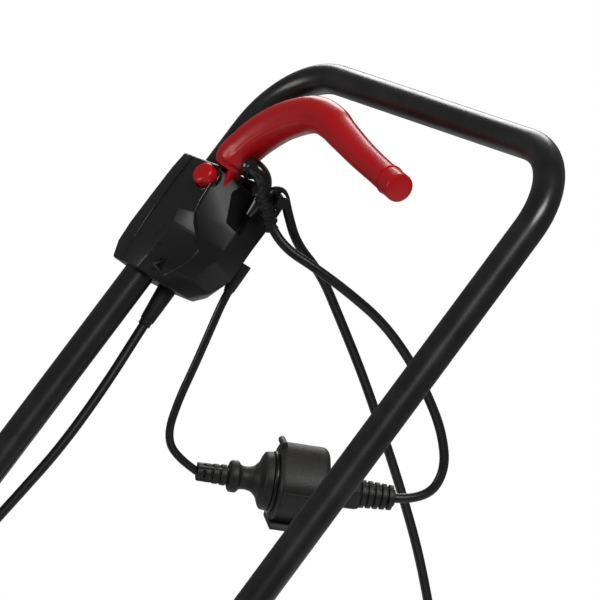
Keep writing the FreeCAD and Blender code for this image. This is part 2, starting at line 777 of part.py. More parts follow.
pin_low = 12.5 - half_upper
pin_high = -box_inner - 1.2
node("switch_shell_outer", outer_shell(), "handle")
node("switch_shell_inner", inner_shell(), "handle")
node("switch_screws", group(*[switch_screw(spot) for spot in screw_points]), "handle")
node("lever_pin", group(rod("X", pin_spot, pin_low, pin_high, pin)), "handle")
node("micro_switch", fuse(
    block((lever_side - 24, lever_side - 5), (-169, -139), (-11, 11)),
    block((lever_side - 19, lever_side - 9), (-140, -135.5), (-8, -2)),
), "handle")
node("safety_button", fuse(tilted_rod(-4, d.button_rise, cap_radius), tilted_rod(-22, -3, stem)), "handle")
node("button_spring", cut(tilted_rod(-10.8, -4.2, stem + 2.2), tilted_rod(-11, -4, stem + 0.4)), "handle")


def switch_lever():
    """A pull lever: a neck up from the hinge pin, a thick arch and a grip that tapers to a round end."""
    side = lever_side - 11
    leg = (-68, 88)
    shoulder = (-44, 81.1)
    tip = (47, 55)
    path = [(side, 33), (side, 47), (side + 23, 68), leg, shoulder]
    arch = bent_tube(path, (22, 60, 50), d.lever_dia / 2)
    grip = doc.addObject("Part::Cone", "grip")
    grip.setExpression("Radius1", (d.lever_dia / 2).text)
    grip.setExpression("Radius2", (d.lever_tip_dia / 2).text)
    along = Vector(tip[0] - shoulder[0], tip[1] - shoulder[1], 0)
    grip.setExpression("Height", size(along.Length).text)
    grip.Placement = Placement(Vector(shoulder[0], shoulder[1], 0), Rotation(Vector(0, 0, 1), along))
    end = doc.addObject("Part::Sphere", "end")
    end.setExpression("Radius", (d.lever_tip_dia / 2).text)
    put(end, tip + (0,))
    half_neck = d.neck_width / 2
    neck = block((lever_side - half_neck, lever_side + half_neck), (0, 38), (-half_neck, half_neck))
    heel = block((lever_side - 10, lever_side + 4), (-11, 4), (-8, -1))
    eye = rod("X", (0, 0), lever_side - half_neck, lever_side + half_neck, d.eye_radius)
    bore = rod("X", (0, 0), lever_side - 12, lever_side + 12, pin + d.running_gap)
    return cut(fuse(arch, grip, end, neck, heel, eye), bore)


lever = node("switch_lever", switch_lever(), frame=None)
put(lever, (0, blade_axis + hinge_reach, hinge_level), Rotation(Vector(1, 0, 0), 1))
lever.setExpression("Placement.Rotation.Angle", lever_angle.text)
spring_low = lever_side + d.neck_width / 2 + 0.5
node("lever_spring", ring("X", pin_spot, spring_low, spring_low + 4, 5.5, pin + 0.6), "handle")


# ---------------------------------------------------------------- cord hook beside the box

def cable_hook():
    """A shank from the box, a finger turned down from its end and a guide sleeve for the cord."""
    shank_end = d.hook_out - box_inner
    radius = d.hook_dia / 2
    spot = (-d.hook_run, -d.hook_lift)
    shank = rod("X", spot, -box_inner, shank_end, radius)
    elbow = doc.addObject("Part::Sphere", "elbow")
    elbow.setExpression("Radius", radius.text)
    put(elbow, (shank_end, spot[0], spot[1]))
    finger = group(rod("Z", (0, 0), 0, d.finger_length, radius * 0.8))
    finger.Placement = Placement(elbow.Placement.Base, Rotation(Vector(0, 0, 1), Vector(0.05, -0.72, -0.69)))
    foot = doc.addObject("Part::Box", "foot")
    for name, length in (("Length", 4), ("Width", 30), ("Height", 30)):
        foot.setExpression(name, size(length).text)
    put(foot, (-box_inner, -d.hook_run - 15, -d.hook_lift - 15))
    return fuse(shank, elbow, finger, foot)




node("cable_hook", cable_hook(), "handle")


# ---------------------------------------------------------------- leads

def to_mower(point):
    """A point beside the leg (across, down the leg, lift in front) in mower coordinates."""
    across_leg, run, lift = point
    angle = math.radians(d.handle_angle.value)
    reach = handle_reach.value - run * math.cos(angle) - lift * math.sin(angle)
    level = crossbar_height.value - run * math.sin(angle) + lift * math.cos(angle)
    return (across_leg, reach, level)


def route_wire(name, points):
    """Straight runs joined by tangent arcs, each arc as large as its two runs allow."""
    spots = [Vector(*point) for point in points]
    before = spots[0]
    edges = []
    radii = []
    for i in range(1, len(spots) - 1):
        corner, after = spots[i], spots[i + 1]
        runs = min((corner - spots[i - 1]).Length, (after - corner).Length)
        turn = (corner - spots[i - 1]).getAngle(after - corner)
        radius = 0.45 * runs / math.tan(turn / 2)
        arc = rounded_corner(spots[i - 1], corner, after, radius)
        edges += [Part.LineSegment(before, arc.StartPoint).toShape(), arc.toShape()]
        before = arc.EndPoint
        radii.append(radius)
    edges.append(Part.LineSegment(before, spots[-1]).toShape())
    print("%s arc radii:" % name, " ".join("%.0f" % radius for radius in radii))
    return Part.Wire(edges)


def lead(name, points, diameter):
    """A round lead along its route. A Part::Feature, because its path leaves every plane."""
    wire = route_wire(name, points)
    start = Vector(*points[0])
    heading = (Vector(*points[1]) - start).normalize()
    section = Part.Wire([Part.Circle(start, heading, diameter.value / 2).toShape()])
    solid = wire.makePipeShell([section], True, False)
    expected = math.pi * (diameter.value / 2) ** 2 * wire.Length
    print("%s length %.0f volume ratio %.4f" % (name, wire.Length, solid.Volume / expected))
    feature = doc.addObject("Part::Feature", name)
    feature.Shape = Part.Solid(solid) if solid.ShapeType == "Shell" else solid
    node(name, feature)
    return wire


MOTOR_LEAD_UPPER = [
    (-172, 190, -22), (-171, 222, -24), (-167, 270, -26), (-165, 325, -26), (-167, 372, -22.5),
    (-169, 412, -19.5), (-169.5, 462, -19), (-168.5, 508, -19.5), (-168, 536, -20),
]
MOTOR_LEAD_BEND = [
    (-168, 536.4, -20), (-167.7, 552, -20.3), (-169.5, 567, -23), (-173, 583, -25), (-178, 598, -26),
]
MOTOR_LEAD_LOWER = [
    (-178, 598, -26), (-185, 619, -27.4), (-190, 655, -24.5), (-192, 720, -21), (-191.5, 790, -22),
    (-192, 870, -21.5), (-191, 945, -22.5),
]
MOTOR_LEAD_ENTRY = [
    (-189, 205, 251), (-187.5, 170, 227), (-186, 136, 215.5), (-180, 107, 212), (-165, 84, 212.5),
    (-144, 71.5, 214.3), (-121, 70, 215),
]
lead("motor_lead_upper", [to_mower(point) for point in MOTOR_LEAD_UPPER], d.motor_lead_dia)
lead("motor_lead_bend", [to_mower(point) for point in MOTOR_LEAD_BEND], d.motor_lead_dia)
lead("motor_lead_lower", [to_mower(point) for point in MOTOR_LEAD_LOWER] + MOTOR_LEAD_ENTRY, d.motor_lead_dia)

clip_inner = lead_radius + d.loose_gap


def cable_clip(leg_side, run, lead_side, lift):
    """A ring snapped on the tube with an eye that holds the lead beside it."""
    low = -run - d.clip_width / 2
    high = -run + d.clip_width / 2
    collar = rod("Y", (leg_side, 0), low, high, tube + d.clip_wall)
    eye = rod("Y", (lead_side, lift), low, high, clip_inner + d.clip_wall)
    return cut(
        fuse(collar, eye), rod("Y", (leg_side, 0), low - 1, high + 1, tube),
        rod("Y", (lead_side, lift), low - 1, high + 1, clip_inner),
    )


node("cable_clips", group(
    cable_clip(-half_upper, 412, -169.3, -19.4), cable_clip(-half_upper, 508, -168.6, -19.5),
), "handle")
node("lower_cable_clips", group(
    cable_clip(-half_lower, 720, -192, -21), cable_clip(-half_lower, 870, -192, -21.6),
), "handle")

PIGTAIL = [
    (-136, 805.2, 842.9), (-138, 796.1, 828.7), (-141, 786.4, 806.4), (-146, 775.4, 778.7),
    (-150, 763.9, 753.5), (-152.5, 755.7, 728.6), (-153, 763, 711), (-148, 777.8, 698.9),
]
plug_start = PIGTAIL[-1]
plug_heading = Rotation(Vector(0, 0, 1), -d.plug_turn.value) * Rotation(Vector(1, 0, 0), -d.plug_droop.value)


def along_plug(body):
    """Place a turned piece so that its axis runs rearward from the pigtail's end."""
    x, y, z = plug_start
    return put(body, (x, blade_axis + y, z), plug_heading * ALONG["Y"])


lead("pigtail_cord", PIGTAIL, d.pigtail_dia)
node("mower_plug", turned([
    (0, 0), (5.5, 0), (7.5, 14), (7.5, 22), (12, 23), (12, 30), (9.5, 33), (9.5, 40), (14, 46), (21, 49),
    (21.5, 56), (0, 56),
]), frame=None)
node("coupling", turned([
    (0, 56), (20, 56), (22, 60), (22, 98), (18, 103), (12.5, 104), (12.5, 117), (9, 119), (6.5, 146), (0, 146),
]), frame=None)
along_plug(nodes["mower_plug"])
along_plug(nodes["coupling"])

plug_tail = Vector(*plug_start) + plug_heading.multVec(Vector(0, 146, 0))
EXTENSION = [
    tuple(plug_tail), (-77.5, 929, 671.5), (-74, 944, 692), (-75, 941, 722), (-77, 929, 752), (-78, 914, 780),
    (-78, 891.6, 809.7), (-80.4, 863.9, 835), (-91, 840.7, 855), (-103.3, 826.3, 866.6),
    (-113, 818.7, 882.6), (-115, 817.7, 898.6), (-115, 818.7, 914.1), (-115, 839.7, 913.6),
    (-114.5, 841.7, 893.6), (-112, 845.7, 868.6), (-110.2, 859.6, 842.9), (-110.4, 875, 809.3),
    (-112.7, 895.5, 765.3), (-116.5, 916.1, 716.3), (-121.3, 935.7, 668.3), (-123.6, 954.2, 613.3),
    (-123.8, 967.6, 548.7), (-122, 978, 478), (-117, 981, 402), (-111, 979, 326), (-104, 972, 252),
    (-95, 959, 182), (-83, 943, 118), (-67, 925, 66), (-48, 907, 34), (-34, 890, 19), (-30, 872, 16),
]
lead("extension_cord", EXTENSION, d.extension_dia)


# ---------------------------------------------------------------- spare cord, coiled on the ground

coil_level = d.coil_section / 2 + 2


def coil_torus(name, at, axis_turn, radius, section):
    loop = doc.addObject("Part::Torus", name)
    loop.setExpression("Radius1", size(radius).text)
    loop.setExpression("Radius2", size(section).text)
    return put(loop, at, axis_turn)


node("extension_coil", coil_torus(
    "coil", (d.coil_side, blade_axis + d.coil_reach, coil_level), Rotation(), d.coil_radius, d.coil_section / 2,
), frame=None)
node("coil_tie", group(ring(
    "Y", (d.coil_side + d.coil_radius, coil_level), d.coil_reach - 6, d.coil_reach + 6,
    d.coil_section / 2 + 2, d.coil_section / 2 + 0.4,
)))
node("extension_plug", turned([
    (0, 0), (5, 0), (7, 26), (16, 30), (18, 36), (18, 56), (0, 56),
]), frame=None)
put(nodes["extension_plug"], (
    d.coil_side + 12, blade_axis + d.coil_reach + d.coil_radius + d.coil_section / 2 - 1, 18.2,
), ALONG["Y"])


# ---------------------------------------------------------------- flap and grass box

flap_hinge_reach = deck_rear - 10
lug_outer = lug_side + d.lug_thick
node("flap_hinge_rod", group(rod(
    "X", (flap_hinge_reach, d.hinge_height), -lug_outer - 2, lug_outer + 2, d.hinge_rod_dia / 2,
)))


def discharge_flap():
    half = half_flap
    rod_hole = d.hinge_rod_dia / 2 + d.running_gap
    barrel = rod("X", (flap_hinge_reach, d.hinge_height), -half, half, d.hinge_rod_dia / 2 + 3)
    plate_low = d.hinge_height - d.flap_thick - 1
    plate = block((-half, half), (flap_hinge_reach, flap_hinge_reach + d.flap_length), (plate_low, plate_low + d.flap_thick))
    lip = block(
        (-half, half), (flap_hinge_reach + d.flap_length - 3, flap_hinge_reach + d.flap_length),
        (plate_low - 12, plate_low + 1),
    )
    return cut(
        fuse(barrel, plate, lip), rod("X", (flap_hinge_reach, d.hinge_height), -half - 1, half + 1, rod_hole),
    )


node("discharge_flap", discharge_flap())

neck_front = deck_rear + d.box_gap
bin_front = rear_axle_reach + rear_radius + 9
bin_rear = bin_front + d.bin_length
neck_top = d.deck_top - d.deck_wall * 2 + d.neck_wall


def grass_box_bin():
    half = d.bin_width / 2
    wall = d.bin_wall
    shell = extruded(
        "XY_Plane", [(-half, bin_front), (half, bin_front), (half, bin_rear), (-half, bin_rear)],
        d.bin_bottom, d.bin_split, d.bin_round,
    )
    hollow = extruded(
        "XY_Plane",
        [(wall - half, bin_front + wall), (half - wall, bin_front + wall), (half - wall, bin_rear - wall),
         (wall - half, bin_rear - wall)],
        d.bin_bottom + wall, d.bin_split + 1, d.bin_round - wall,
    )
    mouth = half_chute
    neck = block(
        (-mouth - d.neck_wall, mouth + d.neck_wall), (neck_front, bin_front + 1),
        (chute_floor - d.neck_wall, neck_top),
    )
    throat = block(
        (-mouth, mouth), (neck_front - 1, bin_front + wall + 1), (chute_floor, neck_top - d.neck_wall),
    )
    return cut(fuse(cut(shell, hollow), neck), throat)


def grass_box_lid():
    half = d.bin_width / 2
    wall = d.bin_wall
    low = d.bin_split
    shell = extruded(
        "XY_Plane", [(-half, bin_front), (half, bin_front), (half, bin_rear), (-half, bin_rear)],
        low, d.bin_top, d.bin_round,
    )
    hollow = extruded(
        "XY_Plane",
        [(wall - half, bin_front + wall), (half - wall, bin_front + wall), (half - wall, bin_rear - wall),
         (wall - half, bin_rear - wall)],
        low - 1, d.bin_top - wall, d.bin_round - wall,
    )
    grip_half = d.grip_width / 2
    middle = (bin_front + bin_rear) / 2
    bar = block((-grip_half, grip_half), (middle - 11, middle + 11), (d.bin_top + 26, d.bin_top + 38))
    posts = [
        block((x, x + 14), (middle - 11, middle + 11), (d.bin_top - 1, d.bin_top + 27))
        for x in (-grip_half, grip_half - 14)
    ]
    slots = []
    for row in range(9):
        reach = bin_front + 42 + row * 21
        slots.append(block((-half - 1, half + 1), (reach, reach + 9), (low + 24, low + 58)))
    return cut(fuse(cut(shell, hollow), bar, *posts), *slots)


node("grass_box_bin", grass_box_bin())
node("grass_box_lid", grass_box_lid())


# ---------------------------------------------------------------- check and write

doc.recompute()
failed = [obj.Label for obj in doc.Objects if "Invalid" in obj.State or "Error" in obj.State]
if failed:
    raise RuntimeError("failed objects: %s" % failed)
for name, obj in nodes.items():
    if obj.Shape.isNull() or not obj.Shape.isValid() or not obj.Shape.Solids:
        raise RuntimeError("bad shape: " + name)
os.makedirs("parts", exist_ok=True)
for name, obj in nodes.items():
    obj.Shape.exportStep("parts/%s.step" % name)
print("%d sub-parts, origin %.1f behind the blade axis" % (len(nodes), -blade_axis.value))
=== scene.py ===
import json
import math
import bpy
import bmesh
from mathutils import Matrix, Vector


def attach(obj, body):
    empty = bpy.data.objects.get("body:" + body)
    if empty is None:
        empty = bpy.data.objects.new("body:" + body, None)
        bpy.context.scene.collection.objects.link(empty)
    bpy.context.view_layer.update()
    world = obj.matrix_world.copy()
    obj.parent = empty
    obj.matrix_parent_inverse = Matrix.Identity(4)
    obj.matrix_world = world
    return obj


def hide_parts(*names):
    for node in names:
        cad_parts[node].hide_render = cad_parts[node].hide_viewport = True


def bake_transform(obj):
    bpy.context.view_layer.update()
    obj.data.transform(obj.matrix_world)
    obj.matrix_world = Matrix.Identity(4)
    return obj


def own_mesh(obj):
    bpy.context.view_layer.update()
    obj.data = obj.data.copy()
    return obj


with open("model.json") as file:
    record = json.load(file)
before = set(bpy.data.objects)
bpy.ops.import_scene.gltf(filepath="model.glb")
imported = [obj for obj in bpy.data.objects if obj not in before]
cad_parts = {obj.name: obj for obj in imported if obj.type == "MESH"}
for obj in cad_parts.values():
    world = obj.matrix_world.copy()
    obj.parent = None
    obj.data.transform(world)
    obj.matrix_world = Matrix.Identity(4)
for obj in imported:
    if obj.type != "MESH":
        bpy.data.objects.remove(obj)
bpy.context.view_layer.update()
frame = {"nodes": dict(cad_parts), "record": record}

handle = {"angle": 46, "barY": 568, "barZ": 980, "side": 180, "bend": 60, "bendSteps": 18, "foot": 576, "radius": 11}
slope = math.radians(handle["angle"])
legDown = Vector((0, -math.cos(slope), -math.sin(slope)))   # from the crossbar down a leg
legOut = Vector((0, -math.sin(slope), math.cos(slope)))     # square to it, towards the front
across = Vector((1, 0, 0))


def metres(points):
    return [Vector(point) / 1000 for point in points]


def legPoint(x, run, lift):   # millimetres across, down the leg and in front of it
    start = Vector((x, handle["barY"], handle["barZ"]))
    return (start + legDown * run + legOut * lift) / 1000


# camera

camera = {"lens": 368.1, "turn": 32.07, "tilt": 14.36, "from": (3.495, -2.299, 0.935)}


def placeCamera():
    turn, tilt = math.radians(camera["turn"]), math.radians(camera["tilt"])
    look = Vector((-math.cos(turn) * math.cos(tilt), math.sin(turn) * math.cos(tilt), -math.sin(tilt)))
    right = Vector((math.sin(turn), math.cos(turn), 0))
    up = right.cross(look)
    eye = bpy.data.objects.new("viewCamera", bpy.data.cameras.new("viewCamera"))
    eye.data.lens = camera["lens"]
    eye.data.sensor_width = 36
    eye.data.clip_end = 30
    spot = Vector(camera["from"]) + Vector((0, handle["barY"], handle["barZ"])) / 1000
    eye.matrix_world = Matrix.Translation(spot) @ Matrix((right, up, -look)).transposed().to_4x4()
    bpy.context.collection.objects.link(eye)
    bpy.context.scene.camera = eye


placeCamera()
print("camera placed")

# shader maths


class Wire:
    def __init__(self, sheet, socket):
        self.sheet, self.socket = sheet, socket

    def __add__(self, other):
        return self.sheet.sum("ADD", self, other)

    def __sub__(self, other):
        return self.sheet.sum("SUBTRACT", self, other)

    def __rsub__(self, other):
        return self.sheet.sum("SUBTRACT", other, self)

    def __mul__(self, other):
        return self.sheet.sum("MULTIPLY", self, other)

    __radd__ = __add__
    __rmul__ = __mul__


class Sheet:
    def __init__(self, name):
        self.material = bpy.data.materials.new(name)
        self.material.use_nodes = True
        self.tree = self.material.node_tree
        self.tree.nodes.clear()

    def node(self, kind, settings=None, inputs=None, output=0):
        made = self.tree.nodes.new(kind)
        for key, value in (settings or {}).items():
            if key == "stops":
                ramp = made.color_ramp.elements
                while len(ramp) < len(value):
                    ramp.new(0.5)
                for stop, (place, shade) in zip(ramp, value):
                    stop.position = place
                    stop.color = (shade, shade, shade, 1)
            else:
                setattr(made, key, value)
        for key, value in (inputs or {}).items():
            if isinstance(value, Wire):
                self.tree.links.new(value.socket, made.inputs[key])
            else:
                made.inputs[key].default_value = value
        return Wire(self, made.outputs[output]) if len(made.outputs) else None

    def sum(self, operation, first, second):
        return self.node("ShaderNodeMath", {"operation": operation}, {0: first, 1: second})

    def place(self, stretch=(1, 1, 1)):
        spot = self.node("ShaderNodeTexCoord", output=3)
        return self.node("ShaderNodeMapping", None, {"Vector": spot, "Scale": stretch})

    def noise(self, scale, detail=3, rough=0.5, stretch=(1, 1, 1)):
        return self.node("ShaderNodeTexNoise", None, {
            "Vector": self.place(stretch), "Scale": scale, "Detail": detail, "Roughness": rough})

    def ramp(self, value, *stops):
        return self.node("ShaderNodeValToRGB", {"stops": stops}, {"Fac": value})

    def mix(self, mask, first, second):
        return self.node("ShaderNodeMix", {"data_type": "RGBA"}, {0: mask, 6: first, 7: second}, 2)

    def bump(self, height, strength, distance, under=None):
        inputs = {"Height": height, "Strength": strength, "Distance": distance}
        if under:
            inputs["Normal"] = under
        return self.node("ShaderNodeBump", None, inputs)

    def surface(self, **inputs):
        named = {key.replace("_", " "): value for key, value in inputs.items()}
        shader = self.node("ShaderNodeBsdfPrincipled", None, named)
        self.node("ShaderNodeOutputMaterial", None, {"Surface": shader})
        return self.material


def colour(red, green, blue):
    return (red, green, blue, 1)


def shadeOf(tone, factor):
    return colour(*[min(1, part * factor) for part in tone[:3]])


finishes = {}   # one for each material slot


def plasticFinish(name, tone, rough, grain, grainDepth, dust=0.0, coat=0.0, spread=0.25, specular=0.5):
    # moulded plastic or rubber: uneven tone, fine grain, and dust on what faces up
    sheet = Sheet(name)
    patches = sheet.noise(22, 4, 0.6)
    fine = sheet.noise(grain, 2)
    body = sheet.mix(patches, shadeOf(tone, 1 - spread), shadeOf(tone, 1 + spread))
    roughness = patches * 0.16 + fine * 0.06 + (rough - 0.11)
    if dust:
        facing = sheet.node("ShaderNodeNewGeometry", output=1)
        upward = sheet.node("ShaderNodeSeparateXYZ", None, {0: facing}, 2)
        specks = sheet.ramp(sheet.noise(160, 6, 0.7), (0.35, 0.3), (0.7, 1))
        settled = sheet.ramp(upward, (0.25, 0), (0.95, 1)) * specks
        body = sheet.mix(settled * dust, body, colour(0.1, 0.095, 0.085))
        roughness = roughness + settled * dust * 0.35
    relief = sheet.bump(fine, 0.35, grainDepth, sheet.bump(sheet.noise(45, 2), 0.2, 0.0003))
    finishes[name] = sheet.surface(
        Base_Color=body, Roughness=roughness, Normal=relief, Coat_Weight=coat, Coat_Roughness=0.12,
        Specular_IOR_Level=specular)


def metalFinish(name, tone, rough, streak, spots=0.0):   # bare metal with fine lines and rust spots
    sheet = Sheet(name)
    lines = sheet.noise(streak, 4, 0.6, (1, 1, 9))
    cloud = sheet.noise(60, 5, 0.6)
    body = sheet.mix(cloud, shadeOf(tone, 0.72), shadeOf(tone, 1.15))
    worn = sheet.ramp(sheet.noise(95, 6, 0.7), (0.55, 0), (0.72, 1)) * spots
    body = sheet.mix(worn, body, colour(0.16, 0.085, 0.04))
    finishes[name] = sheet.surface(
        Base_Color=body, Metallic=1 - worn * 0.7, Roughness=lines * 0.22 + (rough - 0.1) + worn * 0.3,
        Normal=sheet.bump(lines, 0.25, 0.0002))


def paintFinish(name, tone, rough):
    sheet = Sheet(name)
    peel = sheet.noise(520, 2)
    rub = sheet.ramp(sheet.noise(38, 6, 0.65), (0.42, 0), (0.75, 1))
    finishes[name] = sheet.surface(
        Base_Color=sheet.mix(rub, tone, shadeOf(tone, 2.1)), Roughness=rub * 0.12 + peel * 0.05 + rough,
        Normal=sheet.bump(peel, 0.12, 0.00025), Coat_Weight=0.25, Coat_Roughness=0.2)


def wornBladeFinish():
    sheet = Sheet("blade_steel")
    bare = sheet.ramp(sheet.noise(70, 7, 0.7), (0.45, 0), (0.58, 1))
    cuts = sheet.noise(240, 3, 0.5, (1, 12, 1))
    finishes["blade_steel"] = sheet.surface(
        Base_Color=sheet.mix(bare, colour(0.03, 0.03, 0.032), colour(0.42, 0.42, 0.44)),
        Metallic=bare * 0.9 + 0.1, Roughness=cuts * 0.25 + 0.3, Normal=sheet.bump(cuts, 0.3, 0.0003))


def laminationFinish():
    sheet = Sheet("motor_iron")
    height = sheet.node("ShaderNodeSeparateXYZ", None, {0: sheet.place()}, 2)
    layers = sheet.node("ShaderNodeMath", {"operation": "SINE"}, {0: height * 6280})
    finishes["motor_iron"] = sheet.surface(
        Base_Color=sheet.mix(sheet.noise(90, 4), colour(0.12, 0.115, 0.11), colour(0.24, 0.235, 0.23)),
        Metallic=0.85, Roughness=sheet.noise(120, 3) * 0.2 + 0.38, Normal=sheet.bump(layers, 0.4, 0.0003))


plasticFinish("deck_plastic", colour(0.5, 0.012, 0.01), 0.24, 420, 0.0002, dust=0.12, coat=0.6, spread=0.08)
plasticFinish("cover_plastic", colour(0.02, 0.02, 0.021), 0.5, 900, 0.0005, dust=0.25)
plasticFinish("box_plastic", colour(0.028, 0.028, 0.03), 0.55, 750, 0.0006, dust=0.2)
plasticFinish("switch_plastic", colour(0.009, 0.0088, 0.0085), 0.36, 1300, 0.00012, dust=0.05)
plasticFinish("hook_plastic", colour(0.007, 0.007, 0.0072), 0.2, 300, 0.0001, coat=0.3)
plasticFinish("red_plastic", colour(0.6, 0.004, 0.009), 0.33, 260, 0.00005, coat=0.2, spread=0.08,
              specular=0.35)
plasticFinish("lead_rubber", colour(0.011, 0.0108, 0.0105), 0.34, 600, 0.0002, dust=0.06)
plasticFinish("plug_rubber", colour(0.016, 0.0155, 0.015), 0.45, 800, 0.0004, dust=0.55)
plasticFinish("wheel_plastic", colour(0.016, 0.016, 0.017), 0.5, 700, 0.0004, dust=0.3)
plasticFinish("cap_plastic", colour(0.2, 0.2, 0.21), 0.4, 500, 0.0002, dust=0.1, spread=0.1)
paintFinish("handle_paint", colour(0.009, 0.009, 0.0092), 0.27)
metalFinish("steel", colour(0.56, 0.57, 0.58), 0.32, 180, spots=0.25)
metalFinish("spring_steel", colour(0.62, 0.62, 0.64), 0.22, 300)
metalFinish("bracket_alloy", colour(0.58, 0.59, 0.6), 0.45, 120)
wornBladeFinish()
laminationFinish()

for part in frame["record"]["subparts"]:
    mesh = frame["nodes"][part["node"]].data
    mesh.materials.clear()
    mesh.materials.append(finishes[part["material_slot"]])
print("finishes made")

# mesh tools


def newPiece(name, shape, finish, sharp=32):
    bmesh.ops.recalc_face_normals(shape, faces=shape.faces)
    mesh = bpy.data.meshes.new(name)
    shape.to_mesh(mesh)
    shape.free()
    mesh.shade_smooth()
    mesh.set_sharp_from_angle(angle=math.radians(sharp))
    mesh.materials.append(finishes[finish])
    piece = bpy.data.objects.new(name, mesh)
    bpy.context.collection.objects.link(piece)
    return piece


def settle(piece, body, finish, *nodes):
    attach(piece, body)
    if nodes:
        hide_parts(*nodes)


def skin(shape, rings, closed=False, caps=True):
    rows = [[shape.verts.new(point) for point in ring] for ring in rings]
    pairs = list(zip(rows, rows[1:])) + ([(rows[-1], rows[0])] if closed else [])
    count = len(rows[0])
    for low, high in pairs:
        for i in range(count):
            shape.faces.new((low[i], low[(i + 1) % count], high[(i + 1) % count], high[i]))
    if caps and not closed:
        shape.faces.new(rows[0])
        shape.faces.new(rows[-1])
    return rows


def softened(points, radius, steps=4, closed=False):   # rounds the corners of a flat outline
    spots = [Vector(point) for point in points]
    made = []
    for i, corner in enumerate(spots):
        if not closed and i in (0, len(spots) - 1):
            made.append(corner)
            continue
        before, after = spots[i - 1], spots[(i + 1) % len(spots)]
        reach = min(radius, (before - corner).length * 0.45, (after - corner).length * 0.45)
        first = corner + (before - corner).normalized() * reach
        last = corner + (after - corner).normalized() * reach
        for k in range(steps + 1):
            t = k / steps
            made.append(first * (1 - t) ** 2 + corner * 2 * t * (1 - t) + last * t ** 2)
    return made


def smoothLine(points, steps=8):   # passes through every point
    spots = [Vector(point) for point in points]
    ends = [spots[0] * 2 - spots[1]] + spots + [spots[-1] * 2 - spots[-2]]
    line = []
    for a, b, c, d in zip(ends, ends[1:], ends[2:], ends[3:]):
        for k in range(steps):
            t = k / steps
            line.append(((2 * b) + (c - a) * t + (2 * a - 5 * b + 4 * c - d) * t * t
                         + (3 * b - a - 3 * c + d) * t ** 3) / 2)
    return line + [spots[-1]]


def smoothValues(values, steps=8):
    return [spot.x for spot in smoothLine([(value, 0, 0) for value in values], steps)]


def tubeRings(line, radii, sides, up, section=None):
    rings = []
    for i, spot in enumerate(line):
        ahead = (line[min(i + 1, len(line) - 1)] - line[max(i - 1, 0)]).normalized()
        side = up.cross(ahead).normalized()
        top = ahead.cross(side)
        up = top if section is None else up
        ring = []
        for k in range(sides):
            turn = math.tau * k / sides
            size = radii[i] * (section(turn, i) if section else 1)
            ring.append(spot + top * math.cos(turn) * size + side * math.sin(turn) * size)
        rings.append(ring)
    return rings


def turned(name, profile, start, heading, finish, sides=64, wave=None, ring=False):
    # profile: along and radius in millimetres; wave changes the radius round the axis; a ring has no caps
    heading = heading.normalized()
    first = heading.orthogonal() if abs(heading.z) > 0.9 else heading.cross(Vector((0, 0, 1)))
    first = first.normalized()
    second = heading.cross(first)
    shape = bmesh.new()
    rings = []
    for along, radius in profile:
        loop = []
        for k in range(sides):
            turn = math.tau * k / sides
            size = max(radius, 0.02) * (wave(turn, along) if wave else 1)
            out = first * math.cos(turn) + second * math.sin(turn)
            loop.append(start + (heading * along + out * size) / 1000)
        rings.append(loop)
    skin(shape, rings, closed=ring)
    return newPiece(name, shape, finish)


def prism(name, outline, low, high, place, finish, edge=0.6):   # outline in u, v; place maps u, v, w
    shape = bmesh.new()
    skin(shape, [[place(u, v, w) / 1000 for u, v in outline] for w in (low, high)])
    roundEdges(shape, edge)
    return newPiece(name, shape, finish)


def roundEdges(shape, edge, steeper=24, steps=3):
    bmesh.ops.recalc_face_normals(shape, faces=shape.faces)
    sharp = [e for e in shape.edges if len(e.link_faces) == 2 and e.calc_face_angle() > math.radians(steeper)]
    bmesh.ops.bevel(shape, geom=sharp, offset=edge / 1000, segments=steps, profile=0.5, affect="EDGES",
                    clamp_overlap=True)


def join(name, pieces):   # several pieces become one
    shape = bmesh.new()
    finish = pieces[0].data.materials[0]
    for piece in pieces:
        shape.from_mesh(piece.data)
        bpy.data.objects.remove(piece)
    mesh = bpy.data.meshes.new(name)
    shape.to_mesh(mesh)
    shape.free()
    mesh.set_sharp_from_angle(angle=math.radians(32))
    mesh.materials.append(finish)
    made = bpy.data.objects.new(name, mesh)
    bpy.context.collection.objects.link(made)
    return made


def carve(piece, cutter):
    change = piece.modifiers.new("cut", "BOOLEAN")
    change.object = cutter
    change.solver = "EXACT"
    bpy.context.view_layer.update()
    result = bpy.data.meshes.new_from_object(piece.evaluated_get(bpy.context.evaluated_depsgraph_get()))
    piece.modifiers.clear()
    piece.data = result
    piece.data.set_sharp_from_angle(angle=math.radians(32))
    bpy.data.objects.remove(cutter)


def leadCurve(name, points, diameter):
    curve = bpy.data.curves.new(name, "CURVE")
    curve.dimensions = "3D"
    curve.bevel_depth = diameter / 2000
    curve.bevel_resolution = 7
    curve.resolution_u = 10
    curve.use_fill_caps = True
    spline = curve.splines.new("NURBS")
    spline.points.add(len(points) - 1)
    for spot, point in zip(spline.points, points):
        spot.co = (*point, 1)
    spline.order_u = 3
    spline.use_endpoint_u = True
    curve.materials.append(finishes["lead_rubber"])
    piece = bpy.data.objects.new(name, curve)
    bpy.context.collection.objects.link(piece)
    return piece


def lineOf(name, points):   # the smooth line that a lead with these points follows
    piece = leadCurve(name, points, 0)
    mesh = bpy.data.meshes.new_from_object(piece)
    line = [vertex.co.copy() for vertex in mesh.vertices]
    bpy.data.objects.remove(piece)
    bpy.data.meshes.remove(mesh)
    return line


# leads: the mower's own pigtail, and the long lead that plugs into it

